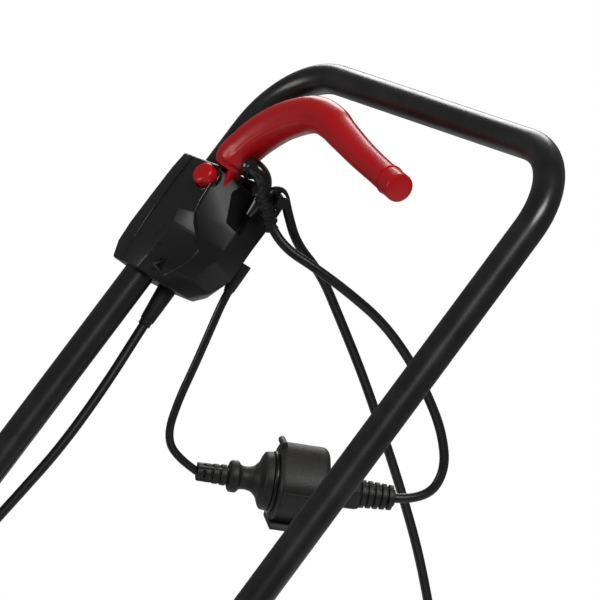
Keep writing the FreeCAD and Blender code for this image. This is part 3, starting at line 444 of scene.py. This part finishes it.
leads = {"pigtail": 6, "extension": 7, "motor": 7.2, "pigtailLength": 0.159, "extensionLength": 4.6}
pigtailRoute = metres([
    (-136, 491.2, 842.9), (-138, 482.1, 828.7), (-141, 472.4, 806.4), (-146, 461.4, 778.7),
    (-150, 449.9, 753.5), (-152.5, 441.7, 728.6), (-153, 449, 711), (-148, 463.8, 698.9),
])
extensionRoute = metres([
    (-87.2, 594.1, 673.6), (-77.5, 615, 671.5), (-74, 630, 692), (-75, 627, 722), (-77, 615, 752),
    (-78, 600, 780), (-78, 577.6, 809.7), (-80.4, 549.9, 835), (-91, 526.7, 855), (-103.3, 512.3, 866.6),
    (-113, 504.7, 882.6), (-115, 503.7, 898.6), (-115, 504.7, 907.5), (-115, 517, 907),
    (-114.5, 520, 891), (-112, 526, 867), (-110.2, 545.6, 842.9), (-110.4, 561, 809.3),
    (-112.7, 581.5, 765.3), (-116.5, 602.1, 716.3), (-121.3, 621.7, 668.3), (-123.6, 640.2, 613.3),
    (-123.8, 653.6, 548.7), (-122, 664, 478), (-117, 667, 402), (-111, 665, 326), (-104, 658, 252),
    (-95, 645, 182), (-83, 629, 118), (-67, 611, 68), (-51, 594, 38), (-42, 573, 24),
])
coil = {"centre": (20, 548, 16), "radius": 50, "ring": 10.9, "slots": 10, "inner": 3.5, "first": 30,
        "points": 16, "turns": 10.611, "outerTurns": 9, "inwardTurns": 0.22, "curvePull": 0.987}


def coilPoints():   # nine turns side by side round two more, each shifting by one place as it goes round
    made = []
    total = int(coil["turns"] * coil["points"])
    pitch = 360 / coil["slots"]
    for i in range(total + 1):
        turns = i / coil["points"]
        angle = coil["first"] - min(turns, coil["outerTurns"]) * pitch
        reach = coil["ring"]
        further = turns - coil["outerTurns"]
        if further > 0:
            angle -= further * 180
            reach = coil["inner"] + (reach - coil["inner"]) * max(0, 1 - further / coil["inwardTurns"])
        outward = coil["radius"] / coil["curvePull"] + reach * math.cos(math.radians(angle))
        level = coil["centre"][2] + reach * math.sin(math.radians(angle))
        way = math.pi + turns * math.tau
        x, y = coil["centre"][:2]
        made.append((x + outward * math.cos(way), y + outward * math.sin(way), level))
    return made


extensionEnd = [(53.5, 589.5, 27.5), (45.5, 598.5, 27), (38.5, 606, 22.5), (32.8, 611, 18.8), (32, 613, 18.2)]
pigtail = leadCurve("pigtail_lead", pigtailRoute, leads["pigtail"])
extensionPath = extensionRoute + metres(coilPoints()) + metres(extensionEnd)
extension = leadCurve("extension_lead", extensionPath, leads["extension"])
print("leads laid")

# plug and coupling on one line behind the right leg

plug = {"start": (-148, 463.8, 698.9), "turn": 25, "droop": 10}


def plugHeading():
    turn, droop = math.radians(plug["turn"]), math.radians(plug["droop"])
    return Vector((math.sin(turn) * math.cos(droop), math.cos(turn) * math.cos(droop), -math.sin(droop)))


plugStart = Vector(plug["start"]) / 1000
plugLine = plugHeading()
plugSide = plugLine.cross(Vector((0, 0, 1))).normalized()
plugTop = plugSide.cross(plugLine)


def plugPoint(along, side, top):
    return plugStart * 1000 + plugLine * along + plugSide * side + plugTop * top


def plugRevolved(name, profile, rounding, sides=64, wave=None, steps=4, finish="plug_rubber"):
    return turned(name, softened(profile, rounding, steps), plugStart, plugLine, finish, sides, wave)


def plugBar(name, outline, low, high, edge):
    return prism(name, outline, low, high, lambda u, v, w: plugPoint(w, u, v), "plug_rubber", edge)


relief = {"low": 0, "high": 23, "start": 6.6, "end": 8, "core": 2.2, "slots": 4, "gap": 1.7, "bar": 1.6}


def slottedRelief():   # short rings with gaps between, joined by four bars
    low, high, start, end = (relief[key] for key in ("low", "high", "start", "end"))
    core = [(low, 0), (low, start - relief["core"]), (high, end - relief["core"]), (high, 0)]
    pieces = [plugRevolved("relief_core", core, 0.8)]
    pitch = (high - low) / relief["slots"]
    for i in range(relief["slots"]):
        first = low + i * pitch
        last = first + pitch - relief["gap"]
        size = start + (end - start) * (first - low) / (high - low)
        pieces.append(plugRevolved("relief_ring", [(first, size - 3), (first, size), (last, size), (last, size - 3)],
                                   0.5, steps=3))
    for turn in (45, 135, 225, 315):
        way = math.radians(turn)
        bar = relief["bar"]
        reach = (start + end) / 2 - bar
        x, y = math.cos(way) * reach, math.sin(way) * reach
        outline = [(x - bar, y - bar), (x + bar, y - bar), (x + bar, y + bar), (x - bar, y + bar)]
        pieces.append(plugBar("relief_bar", outline, low, high, 0.4))
    return pieces


def makePlug():
    pieces = slottedRelief()
    body = [   # collar, neck, bell and flange
        (22.5, 0), (22.5, 8.2), (24, 11.6), (29.5, 11.8), (31.5, 8.8), (36, 8.3), (41, 9.4), (45, 13.5),
        (47.2, 19), (48.5, 21), (53.5, 21.6), (54, 20.2), (56, 20), (56, 0)]
    pieces.append(plugRevolved("plug_bell", body, 1.6, 96))
    settle(join("mower_plug_body", pieces), "upper_handle", "plug_rubber", "mower_plug")
    gasket = plugRevolved("plug_gasket", [(54.2, 17), (54.2, 22.4), (57.4, 22.4), (57.4, 17)], 1.2, 96,
                          finish="lead_rubber")
    settle(gasket, "upper_handle", "lead_rubber")
    return ["mower_plug_body", "plug_gasket"]


def hexWave(turn, along):
    step = math.pi / 3
    return math.cos(step / 2) / math.cos((turn + 0.3) % step - step / 2)


drum = {"near": 57, "far": 93.5, "radius": 29.3, "seam": 0.7, "square": 0.035}
collarSize = {"near": 103, "far": 120.5, "radius": 13.6}
ribs = {"count": 5, "first": 120.5, "pitch": 5.1, "width": 3.3, "radius": 10.4, "taper": 0.28}


def makeCoupling():
    near, far, radius = drum["near"], drum["far"], drum["radius"]
    shell = [
        (near, 0), (near, radius - 2.5), (near + 2, radius), (far - 3, radius - 0.4), (far, radius - 3.5),
        (far + 1.5, 17), (far + 5, 13.5), (104.5, 12.2), (104.5, 0)]

    def squared(turn, along):   # a drum with slightly flattened sides
        return 1 if along > far + 1 else 1 + drum["square"] * math.cos(4 * turn)

    pieces = [plugRevolved("coupling_drum", shell, 2.4, 96, squared)]
    for side in (1, -1):   # raised seam between the half shells
        inner, outer, half = side * radius - 1.2, side * radius + 1.1, drum["seam"]
        pieces.append(plugBar("coupling_seam", [(inner, -half), (outer, -half), (outer, half), (inner, half)],
                              near + 3, far - 4, 0.4))
    foot = softened([(-17, -radius + 3), (17, -radius + 3), (19, -radius - 1.4), (-19, -radius - 1.4)], 1.0, 3, True)
    pieces.append(plugBar("coupling_foot", foot, near - 0.5, far - 1, 0.7))
    collar = [(collarSize["near"], 0), (collarSize["near"], 11), (collarSize["near"] + 2, collarSize["radius"]),
              (collarSize["far"] - 2, collarSize["radius"]), (collarSize["far"], 11), (collarSize["far"], 0)]
    pieces.append(plugRevolved("coupling_neck", collar, 0.8, 96, hexWave, 3))
    pieces.append(plugRevolved("coupling_core", [(119, 0), (119, 8.4), (146, 6.2), (146, 0)], 0.8, steps=3))
    for i in range(ribs["count"]):
        first = ribs["first"] + i * ribs["pitch"]
        last = first + ribs["width"]
        size = ribs["radius"] - i * ribs["taper"]
        rib = [(first, 6), (first, size), (last, size - 0.1), (last, 6)]
        pieces.append(plugRevolved("coupling_rib", rib, 0.6, steps=3))
    settle(join("coupling_body", pieces), "upper_handle", "plug_rubber", "coupling")
    barrel = softened([(-9, 0), (-9, 2.6), (9, 2.6), (9, 0)], 0.8, 3)
    hinge = turned("lid_hinge", barrel, plugPoint(near + 1.5, 0, radius + 0.8) / 1000, plugSide, "plug_rubber", 32)
    settle(hinge, "upper_handle", "plug_rubber")
    return ["coupling_body", "lid_hinge"]


plugNames = makePlug()
couplingNames = makeCoupling()


farPlug = {"start": (32, 611, 18.2), "pinSide": 0.0095, "grooves": 12, "groove": 0.02}


def farWave(turn, along):   # shallow finger grooves on the grip
    return 1 + farPlug["groove"] * math.cos(turn * farPlug["grooves"]) * (14 < along < 34)


def makeFarPlug():
    start = Vector(farPlug["start"]) / 1000
    heading = Vector((0, 1, 0))
    grip = softened([(0, 0), (0, 5), (22, 7), (28, 12), (31, 16.5), (36, 18), (37, 18), (37, 0)], 2, 4)
    face = softened([(36.5, 0), (36.5, 17), (38, 17.8), (39.5, 17), (39.5, 0)], 0.6, 3)
    body = join("extension_plug_body", [
        turned("far_grip", grip, start, heading, "plug_rubber", 72, farWave),
        turned("far_face", face, start, heading, "plug_rubber", 72)])
    settle(body, "upper_handle", "plug_rubber", "extension_plug")
    pins = [turned("pin", softened([(39, 0), (39, 2.4), (54, 2.4), (56, 1.4), (56, 0)], 0.8, 3),
                   start + Vector((side * farPlug["pinSide"], 0, 0)), heading, "steel", 24) for side in (-1, 1)]
    pins = join("extension_pins", pins)
    settle(pins, "upper_handle", "steel")
    return ["extension_plug_body", "extension_pins"]


farNames = makeFarPlug()


def makeTie():   # a strap round the coil with a square head
    centre = Vector((coil["centre"][0] + coil["radius"], coil["centre"][1], coil["centre"][2]))
    outline = softened([(-6, 14.9), (6, 14.9), (6, 16.2), (-6, 16.2)], 0.4, 2, True)
    rings = []
    for k in range(72):
        way = math.tau * k / 72
        out = Vector((math.cos(way), 0, math.sin(way)))
        rings.append([(centre + out * min(r, 15.9) + Vector((0, y, 0))) / 1000 for y, r in outline])
    shape = bmesh.new()
    skin(shape, rings, closed=True)
    strap = newPiece("tie_strap", shape, "switch_plastic")
    head = prism("tie_head", [(-5, -4), (5, -4), (5, 4), (-5, 4)], 13.5, 16.6,
                 lambda u, v, w: centre + Vector((w * 0.5 + v, u, w * 0.87)), "switch_plastic", 0.6)
    made = join("coil_strap", [strap, head])
    settle(made, "upper_handle", "switch_plastic", "coil_tie")


makeTie()
settle(pigtail, "upper_handle", "lead_rubber", "pigtail_cord")
settle(extension, "upper_handle", "lead_rubber", "extension_cord", "extension_coil")
couplingNames + farNames + ["coil_strap"]
print("plugs made")

# handle tube


def makeHandleTube():
    side, bend, foot = handle["side"], handle["bend"], handle["foot"]
    steps = handle["bendSteps"]
    turns = [math.pi / 2 * k / steps for k in range(steps + 1)]
    corner = [(math.sin(turn) * bend, math.cos(turn) * bend) for turn in turns]
    path = [(side, foot), (side, 300), (side, bend + 40)]
    path += [(side - bend + c, bend - s) for s, c in corner]
    path += [(60, 0), (0, 0), (-60, 0)]
    path += [(-side + bend - s, bend - c) for s, c in corner]
    path += [(-side, bend + 40), (-side, 300), (-side, foot)]
    line = [legPoint(x, run, 0) for x, run in path]
    shape = bmesh.new()
    radius = handle["radius"] / 1000
    skin(shape, tubeRings(line, [radius] * len(line), 72, legOut.copy()))
    piece = newPiece("handle_tube", shape, "handle_paint")
    settle(piece, "upper_handle", "handle_paint", "upper_handle_tube")


makeHandleTube()

# pull lever

lever = {"tilt": 62, "hingeY": 483.202, "hingeZ": 895.069, "rimAngle": -90, "rimHalf": 52, "rimStep": 0.095}


def leverPoint(x, rise, front):
    turn = math.radians(lever["tilt"])
    y = lever["hingeY"] + rise * math.cos(turn) - front * math.sin(turn)
    z = lever["hingeZ"] + rise * math.sin(turn) + front * math.cos(turn)
    return Vector((x, y, z)) / 1000


def makeLever():
    centres = [   # across, and up from the hinge
        (-154, 27), (-152, 34), (-145, 45), (-133, 57.5), (-114, 71), (-89, 81.5), (-72, 84), (-55, 81.5),
        (-40, 76.5), (-8, 67), (20, 60.2), (41, 55.6), (49, 53.9)]
    widths = [11.5, 14, 14.6, 14.8, 14.6, 14.2, 13.9, 13.2, 12, 10.6, 10, 10.3, 10.4]
    line = smoothLine([leverPoint(x, rise, 0) for x, rise in centres], 8)
    radii = smoothValues([width / 1000 for width in widths], 8)
    front = leverPoint(0, 0, 1) - leverPoint(0, 0, 0)
    last = len(line) - 1

    def section(turn, i):   # a raised rim follows the outer edge, and the grip swells a little at its end
        outward = math.degrees(turn)
        outward = outward if outward < 180 else outward - 360
        fade = max(0, min(1, (i - 8) / 8)) * max(0, min(1, (last - 22 - i) / 22))
        step = 1 / (1 + math.exp(-(abs(outward - lever["rimAngle"]) - lever["rimHalf"]) / 2.4))
        return 1 - lever["rimStep"] * fade * step

    rings = tubeRings(line, radii, 96, front.normalized(), section)
    ahead = (line[-1] - line[-2]).normalized()
    middle = line[-1]
    for push, shrink in ((0.7, 0.985), (1.3, 0.94), (1.6, 0.86), (1.75, 0.6), (1.8, 0.2)):
        rings.append([middle + (point - middle) * shrink + ahead * push / 1000 for point in rings[last]])
    shape = bmesh.new()
    skin(shape, rings)
    grip = newPiece("lever_grip", shape, "red_plastic", 40)
    seam = turned("lever_seam", softened([(0, 9.6), (0, 10.9), (0.9, 10.9), (0.9, 9.6)], 0.3, 2),
                  line[-1] - ahead * 0.0145, ahead + Vector((0.1, 0, 0.05)), "red_plastic", 64)
    outline = softened([(-147.8, -6), (-143.5, -6), (-143.5, 30), (-147.8, 30)], 1.5, 3, True)
    neck = prism("lever_neck", outline, -5, 5, leverMillimetres, "red_plastic", 1.2)
    settle(join("lever_body", [grip, seam, neck]), "lever", "red_plastic", "switch_lever")


def leverMillimetres(u, v, w):
    return leverPoint(u, v, w) * 1000


makeLever()
print("handle and lever made")

# switch box on the right leg


def legMillimetres(u, v, w):
    return legPoint(u, v, w) * 1000


boxRows = [   # front outer, ridge, shoulder, seam, end of the slanted face, then round the back: x, run, lift
    [(-203, 98, 17), (-192, 98, 17), (-165, 98, 17), (-151, 98, 17), (-129, 90, -12),
     (-127.5, 88, -30), (-142, 88, -39), (-190, 88, -39), (-205, 88, -27)],
    [(-205, 112, 17), (-192, 112, 17), (-165, 112, 17), (-149, 112, 17), (-128, 104, -12),
     (-126.5, 100, -31), (-142, 100, -40), (-190, 100, -40), (-206, 100, -28)],
    [(-205.5, 138, 17), (-191, 138, 17), (-165, 138, 17), (-146, 137, 15.5), (-127.5, 134, -12),
     (-126.5, 134, -31), (-142, 134, -40), (-190, 134, -40), (-206, 134, -28)],
    [(-205.5, 150, 17), (-190, 150, 17), (-162, 150, 16.5), (-141.5, 150, 4), (-127.5, 147, -12),
     (-127, 148, -32), (-142, 148, -40), (-190, 148, -40), (-206, 148, -28)],
    [(-205.5, 162, 17), (-189, 162, 17), (-161, 162, 15.5), (-141, 158, -4), (-129, 158, -13),
     (-129, 160, -34), (-144, 160, -40), (-190, 160, -40), (-206, 160, -28)],
    [(-205, 178, 16), (-187, 180, 16.5), (-163, 180, 14.5), (-151.5, 178, -3.5), (-142, 176, -16),
     (-138, 176, -31), (-150, 176, -40), (-190, 176, -40), (-205, 176, -28)],
    [(-204, 190, 12), (-188, 191, 14), (-169, 191, 11.5), (-162, 191, -3), (-156, 188, -16),
     (-152, 186, -28), (-156, 184, -36), (-188, 184, -36), (-203, 186, -26)],
]
boxLines = {
    "bead": 0.0009,
    "ridge": [(-191, 99, 17.3), (-191, 140, 17.3), (-188.5, 170, 16.8), (-187, 188, 14.4)],
    "seam": [(-150.5, 99, 16.6), (-150, 112, 16.8), (-146.3, 137, 15), (-141.7, 150, 3.9), (-141, 158, -4.2),
             (-152, 178, -3.6), (-164.5, 190, -3.3)],
    "ribs": [(156, 187, -171.5, -169.3), (168, 186, -162, -160), (175, 184, -157, -155)],   # from run to run
}
boxHoles = {
    "mouth": [(-138.6, 101), (-139.6, 110), (-133.6, 130), (-122, 133), (-118, 99)],
    "root": [(-152, 82), (-152, 101), (-127, 101), (-127, 82)],
}


def makeSwitchBox():
    shape = bmesh.new()
    skin(shape, [[legPoint(*point) for point in row] for row in boxRows])
    roundEdges(shape, 1.6, 14)
    shell = newPiece("switch_box", shape, "switch_plastic", 34)
    bore = legTube("bore", 80, 200, handle["radius"] + 0.4, "switch_plastic")
    carve(shell, bore)
    for name, low, high in (("mouth", -16, 30), ("root", -6, 24)):
        carve(shell, prism(name, boxHoles[name], low, high, legMillimetres, "switch_plastic", 0.4))
    well = turned("well", [(-9.5, 9.6), (14, 9.6)], buttonSpot, buttonOut, "switch_plastic", 64)
    carve(shell, well)
    settle(shell, "upper_handle", "switch_plastic", "switch_shell_outer", "switch_shell_inner")
    ridge, seam = (smoothLine([legPoint(*spot) for spot in boxLines[name]], 6) for name in ("ridge", "seam"))
    trim = bmesh.new()
    for line in (ridge, seam):
        skin(trim, tubeRings(line, [boxLines["bead"]] * len(line), 12, legOut.copy()))
    settle(newPiece("switch_box_trim", trim, "hook_plastic"), "upper_handle", "hook_plastic")
    plates = []
    for low, high, inner, outer in boxLines["ribs"]:
        groove = bmesh.new()
        rows = []
        for run in (low, high):
            rows.append([legPoint(x, run, boxLift(x, run) + lift) for x, lift in
                         ((inner, -1), (inner, 0.7), (outer, 0.7), (outer, -1))])
        skin(groove, rows)
        roundEdges(groove, 0.3, 30, 2)
        plates.append(newPiece("groove", groove, "hook_plastic"))
    settle(join("switch_box_ribs", plates), "upper_handle", "hook_plastic")


def boxLift(x, run):   # height of the front face between its rows
    for low, high in zip(boxRows, boxRows[1:]):
        if low[1][1] <= run <= high[1][1]:
            t = (run - low[1][1]) / (high[1][1] - low[1][1])
            spots = [Vector(a).lerp(Vector(b), t) for a, b in zip(low[1:4], high[1:4])]
            for first, last in zip(spots, spots[1:]):
                if first.x <= x <= last.x:
                    return first.z + (last.z - first.z) * (x - first.x) / (last.x - first.x)
    return boxRows[-1][2][2]


def legTube(name, low, high, radius, finish):
    start = legPoint(-handle["side"], low, 0)
    return turned(name, [(0, radius), (high - low, radius)], start, legDown, finish, 72)


buttonSpot = Vector((-157, 479.359, 912.682)) / 1000
buttonOut = Vector((0.139173, -0.712339, 0.687898))
coils = {"turns": 6, "steps": 18, "radius": 4.6, "wire": 0.5, "low": -10.6, "high": -4.2}


def makeButton():
    cap = softened([(-4, 0), (-4, 8.5), (6.2, 8.5), (7.6, 7.6), (8.4, 5.6), (8.4, 0)], 1.2, 5)
    piece = turned("button_cap", cap, buttonSpot, buttonOut, "red_plastic", 72)
    settle(piece, "button", "red_plastic", "safety_button")
    rim = softened([(-3, 8.9), (-3, 11.2), (-0.2, 11.4), (1.2, 10.9), (1.2, 9.6), (0, 8.9)], 0.6, 3)
    bezel = turned("button_bezel", rim, buttonSpot, buttonOut, "hook_plastic", 72, ring=True)
    settle(bezel, "upper_handle", "hook_plastic")
    line = []
    first = buttonOut.orthogonal().normalized()
    second = buttonOut.cross(first)
    total = coils["turns"] * coils["steps"]
    for k in range(total + 1):
        way = math.tau * k / coils["steps"]
        along = coils["low"] + (coils["high"] - coils["low"]) * k / total
        out = first * math.cos(way) + second * math.sin(way)
        line.append(buttonSpot + (buttonOut * along + out * coils["radius"]) / 1000)
    shape = bmesh.new()
    skin(shape, tubeRings(line, [coils["wire"] / 1000] * len(line), 8, buttonOut.copy()))
    spring = newPiece("button_coil", shape, "spring_steel")
    settle(spring, "upper_handle", "spring_steel", "button_spring")
    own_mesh(spring)


def makeSwitchWorks():   # the parts inside the box, and the screw heads on its outer side
    body = prism("switch_body", [(-164, 146), (-147, 146), (-147, 172), (-164, 172)], -32, -17,
                 legMillimetres, "switch_plastic", 0.8)
    arm = prism("switch_arm", [(-158, 141), (-153, 141), (-153, 147), (-158, 147)], -28, -24,
                legMillimetres, "switch_plastic", 0.5)
    settle(join("micro_switch_body", [body, arm]), "upper_handle", "switch_plastic", "micro_switch")
    profile = softened([(0, 0), (0, 2.5), (26, 2.5), (26, 0)], 0.5, 3)
    pin = turned("hinge_pin", profile, leverPoint(-167.5, 0, 0), across, "steel", 32)
    settle(pin, "upper_handle", "steel", "lever_pin")
    steps, turns, radius = 72, 4, 4.4
    ways = [math.tau * turns * k / steps for k in range(steps + 1)]
    line = [leverPoint(-153 + 4.5 * k / steps, radius * math.cos(way), radius * math.sin(way))
            for k, way in enumerate(ways)]
    shape = bmesh.new()
    skin(shape, tubeRings(line, [coils["wire"] / 1000] * len(line), 8, across.copy()))
    settle(newPiece("lever_coil", shape, "spring_steel"), "upper_handle", "spring_steel", "lever_spring")
    heads = []
    for run, lift in ((168, 10), (101, -24), (160, -30)):
        start = legPoint(-203.5, run, lift)
        dome = softened([(0, 0), (0, 3), (1.4, 3), (2.6, 1.4), (2.6, 0)], 0.8, 3)
        head = turned("head", dome, start, -across, "steel", 32)
        outline = [(run - 2, lift - 0.5), (run + 2, lift - 0.5), (run + 2, lift + 0.5), (run - 2, lift + 0.5)]
        slot = prism("slot", outline, -207, -205.2, lambda u, v, w: legMillimetres(w, u, v), "steel", 0.05)
        carve(head, slot)
        heads.append(head)
    settle(join("switch_box_screws", heads), "upper_handle", "steel", "switch_screws")


makeSwitchBox()
makeButton()
makeSwitchWorks()

hook = {   # x, run, lift
    "claw": [(-131, 92, 6), (-127.5, 90, 12), (-122, 89, 11), (-118, 91, 4), (-117.5, 97, -2), (-119, 106, -5.5),
             (-122, 117, -7.5)],
    "arm": [(-133, 94, -20), (-126, 93, -17), (-117, 94, -14), (-108, 96, -13), (-102, 98, -12)],
    "sleeve": [(-115, 99, 4), (-115, 103, -6), (-114.6, 109, -17), (-114, 116, -26)],
}


def makeHook():   # a curved horn over the lead, with a ribbed sleeve under it
    line = smoothLine([legPoint(*spot) for spot in hook["claw"]], 8)
    radii = smoothValues([0.0055, 0.0064, 0.0066, 0.0062, 0.0054, 0.0042, 0.0022], 8)
    shape = bmesh.new()

    def flutes(turn, i):
        return 1 + 0.07 * math.cos(3 * turn)

    skin(shape, tubeRings(line, radii, 48, across.copy(), flutes))
    arm = smoothLine([legPoint(*spot) for spot in hook["arm"]], 6)
    skin(shape, tubeRings(arm, smoothValues([0.0062, 0.0056, 0.005, 0.0048, 0.0044], 6), 32, legOut.copy()))
    settle(newPiece("cord_horn", shape, "hook_plastic", 50), "upper_handle", "hook_plastic", "cable_hook")
    sleeve = smoothLine([legPoint(*spot) for spot in hook["sleeve"]], 12)
    count = len(sleeve)
    grown = [0.0056 + 0.0009 * (1 if (k // 3) % 2 else -0.3) - 0.0012 * k / count for k in range(count)]
    rings = bmesh.new()
    skin(rings, tubeRings(sleeve, grown, 40, across.copy()))
    settle(newPiece("cord_sleeve", rings, "lead_rubber", 40), "upper_handle", "lead_rubber")


makeHook()
print("switch box made")

# the mower's own lead along the right leg


def ribbed(turn, along):
    return 1 + 0.05 * (1 if int(along / 3) % 2 else -1)


def makeMotorLead():
    upper = [(-172, 190, -22), (-171, 222, -24), (-167, 270, -26), (-165, 325, -26), (-167, 372, -22.5),
             (-169, 412, -19.5), (-169.5, 462, -19), (-168.5, 508, -19.5), (-168, 536, -20)]
    bend = [(-167.7, 552, -20.3), (-169.5, 567, -23), (-173, 583, -25), (-178, 598, -26)]
    lower = [(-185, 619, -27.4), (-190, 655, -24.5), (-192, 720, -21), (-191.5, 790, -22),
             (-192, 870, -21.5), (-191, 945, -22.5)]
    entry = metres([(-189, -109, 251), (-187.5, -144, 227), (-186, -178, 215.5), (-180, -207, 212),
                    (-165, -230, 212.5), (-144, -242.5, 214.3), (-121, -244, 215)])
    line = lineOf("motorLine", [legPoint(*p) for p in upper + bend + lower] + entry)
    shape = bmesh.new()
    skin(shape, tubeRings(line, [leads["motor"] / 2000] * len(line), 24, across.copy()))
    piece = newPiece("motor_lead", shape, "lead_rubber")
    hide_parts("motor_lead_upper", "motor_lead_bend", "motor_lead_lower")
    legPoint(-168, 536, -20)
    legPoint(-178, 598, -26)
    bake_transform(piece)
    heading = legPoint(-171, 222, -24) - legPoint(-172, 190, -22)
    profile = softened([(0, 4), (0, 7.4), (8, 7), (30, 4.9), (34, 4.3), (34, 3.6)], 1, 3)
    boxEnd = turned("box_relief", profile, legPoint(-172, 184, -21.6), heading, "lead_rubber", 40, ribbed)
    settle(boxEnd, "upper_handle", "lead_rubber")
    profile = softened([(-10, 3), (-10, 5.2), (2, 5), (12, 3.7), (14, 3.4), (14, 2.9)], 0.8, 3)
    heading = pigtailRoute[1] - pigtailRoute[0]
    tail = turned("pigtail_relief", profile, pigtailRoute[0], heading, "lead_rubber", 40, ribbed)
    settle(tail, "upper_handle", "lead_rubber")


makeMotorLead()
print("motor lead made")

# floor and light

stageSet = {"floorTone": 0.8, "grey": 0.13, "reach": 1.4}


def makeStage():
    shape = bmesh.new()
    reach = stageSet["reach"]
    corners = [(-reach, -reach), (reach, -reach), (reach, reach), (-reach, reach)]
    skin(shape, [[Vector((x, y, z)) for x, y in corners] for z in (-0.02, -0.0005)])
    sheet = Sheet("floorFinish")
    tone = stageSet["floorTone"]
    pale = tone + 0.06
    clouds = sheet.mix(sheet.noise(3), colour(tone, tone, tone), colour(pale, pale, pale))
    sheet.surface(Base_Color=clouds, Roughness=0.8)
    finishes["floorFinish"] = sheet.material
    floor = newPiece("floor", shape, "floorFinish")
    world = bpy.data.worlds.new("studio")
    bpy.context.scene.world = world
    world.use_nodes = True
    tree = world.node_tree
    tree.nodes.clear()
    seen = tree.nodes.new("ShaderNodeBackground")
    seen.inputs[0].default_value = (1, 1, 1, 1)
    lit = tree.nodes.new("ShaderNodeBackground")
    lit.inputs[0].default_value = (stageSet["grey"],) * 3 + (1,)
    path = tree.nodes.new("ShaderNodeLightPath")
    mix = tree.nodes.new("ShaderNodeMixShader")
    out = tree.nodes.new("ShaderNodeOutputWorld")
    tree.links.new(path.outputs["Is Camera Ray"], mix.inputs[0])
    tree.links.new(lit.outputs[0], mix.inputs[1])
    tree.links.new(seen.outputs[0], mix.inputs[2])
    tree.links.new(mix.outputs[0], out.inputs[0])


lamps = {
    "keyLight": {"from": (2.6, 0.7, 3.2), "size": (1.6, 1.0), "power": 62},
    "sideLight": {"from": (-1.2, -3.0, 1.9), "size": (1.2, 1.8), "power": 30},
    "backLight": {"from": (-2.4, 2.2, 2.2), "size": (1.6, 1.2), "power": 34},
}


def makeLamps():
    aim = Vector((-0.05, 0.42, 0.75))
    for name, lamp in lamps.items():
        data = bpy.data.lights.new(name, "AREA")
        data.shape = "RECTANGLE"
        data.size, data.size_y = lamp["size"]
        data.energy = lamp["power"]
        light = bpy.data.objects.new(name, data)
        spot = Vector(lamp["from"])
        facing = (aim - spot).to_track_quat("-Z", "Y").to_matrix().to_4x4()
        light.matrix_world = Matrix.Translation(spot) @ facing
        bpy.context.collection.objects.link(light)


makeStage()
makeLamps()
bpy.context.scene.view_settings.view_transform = "Standard"
print("stage set")
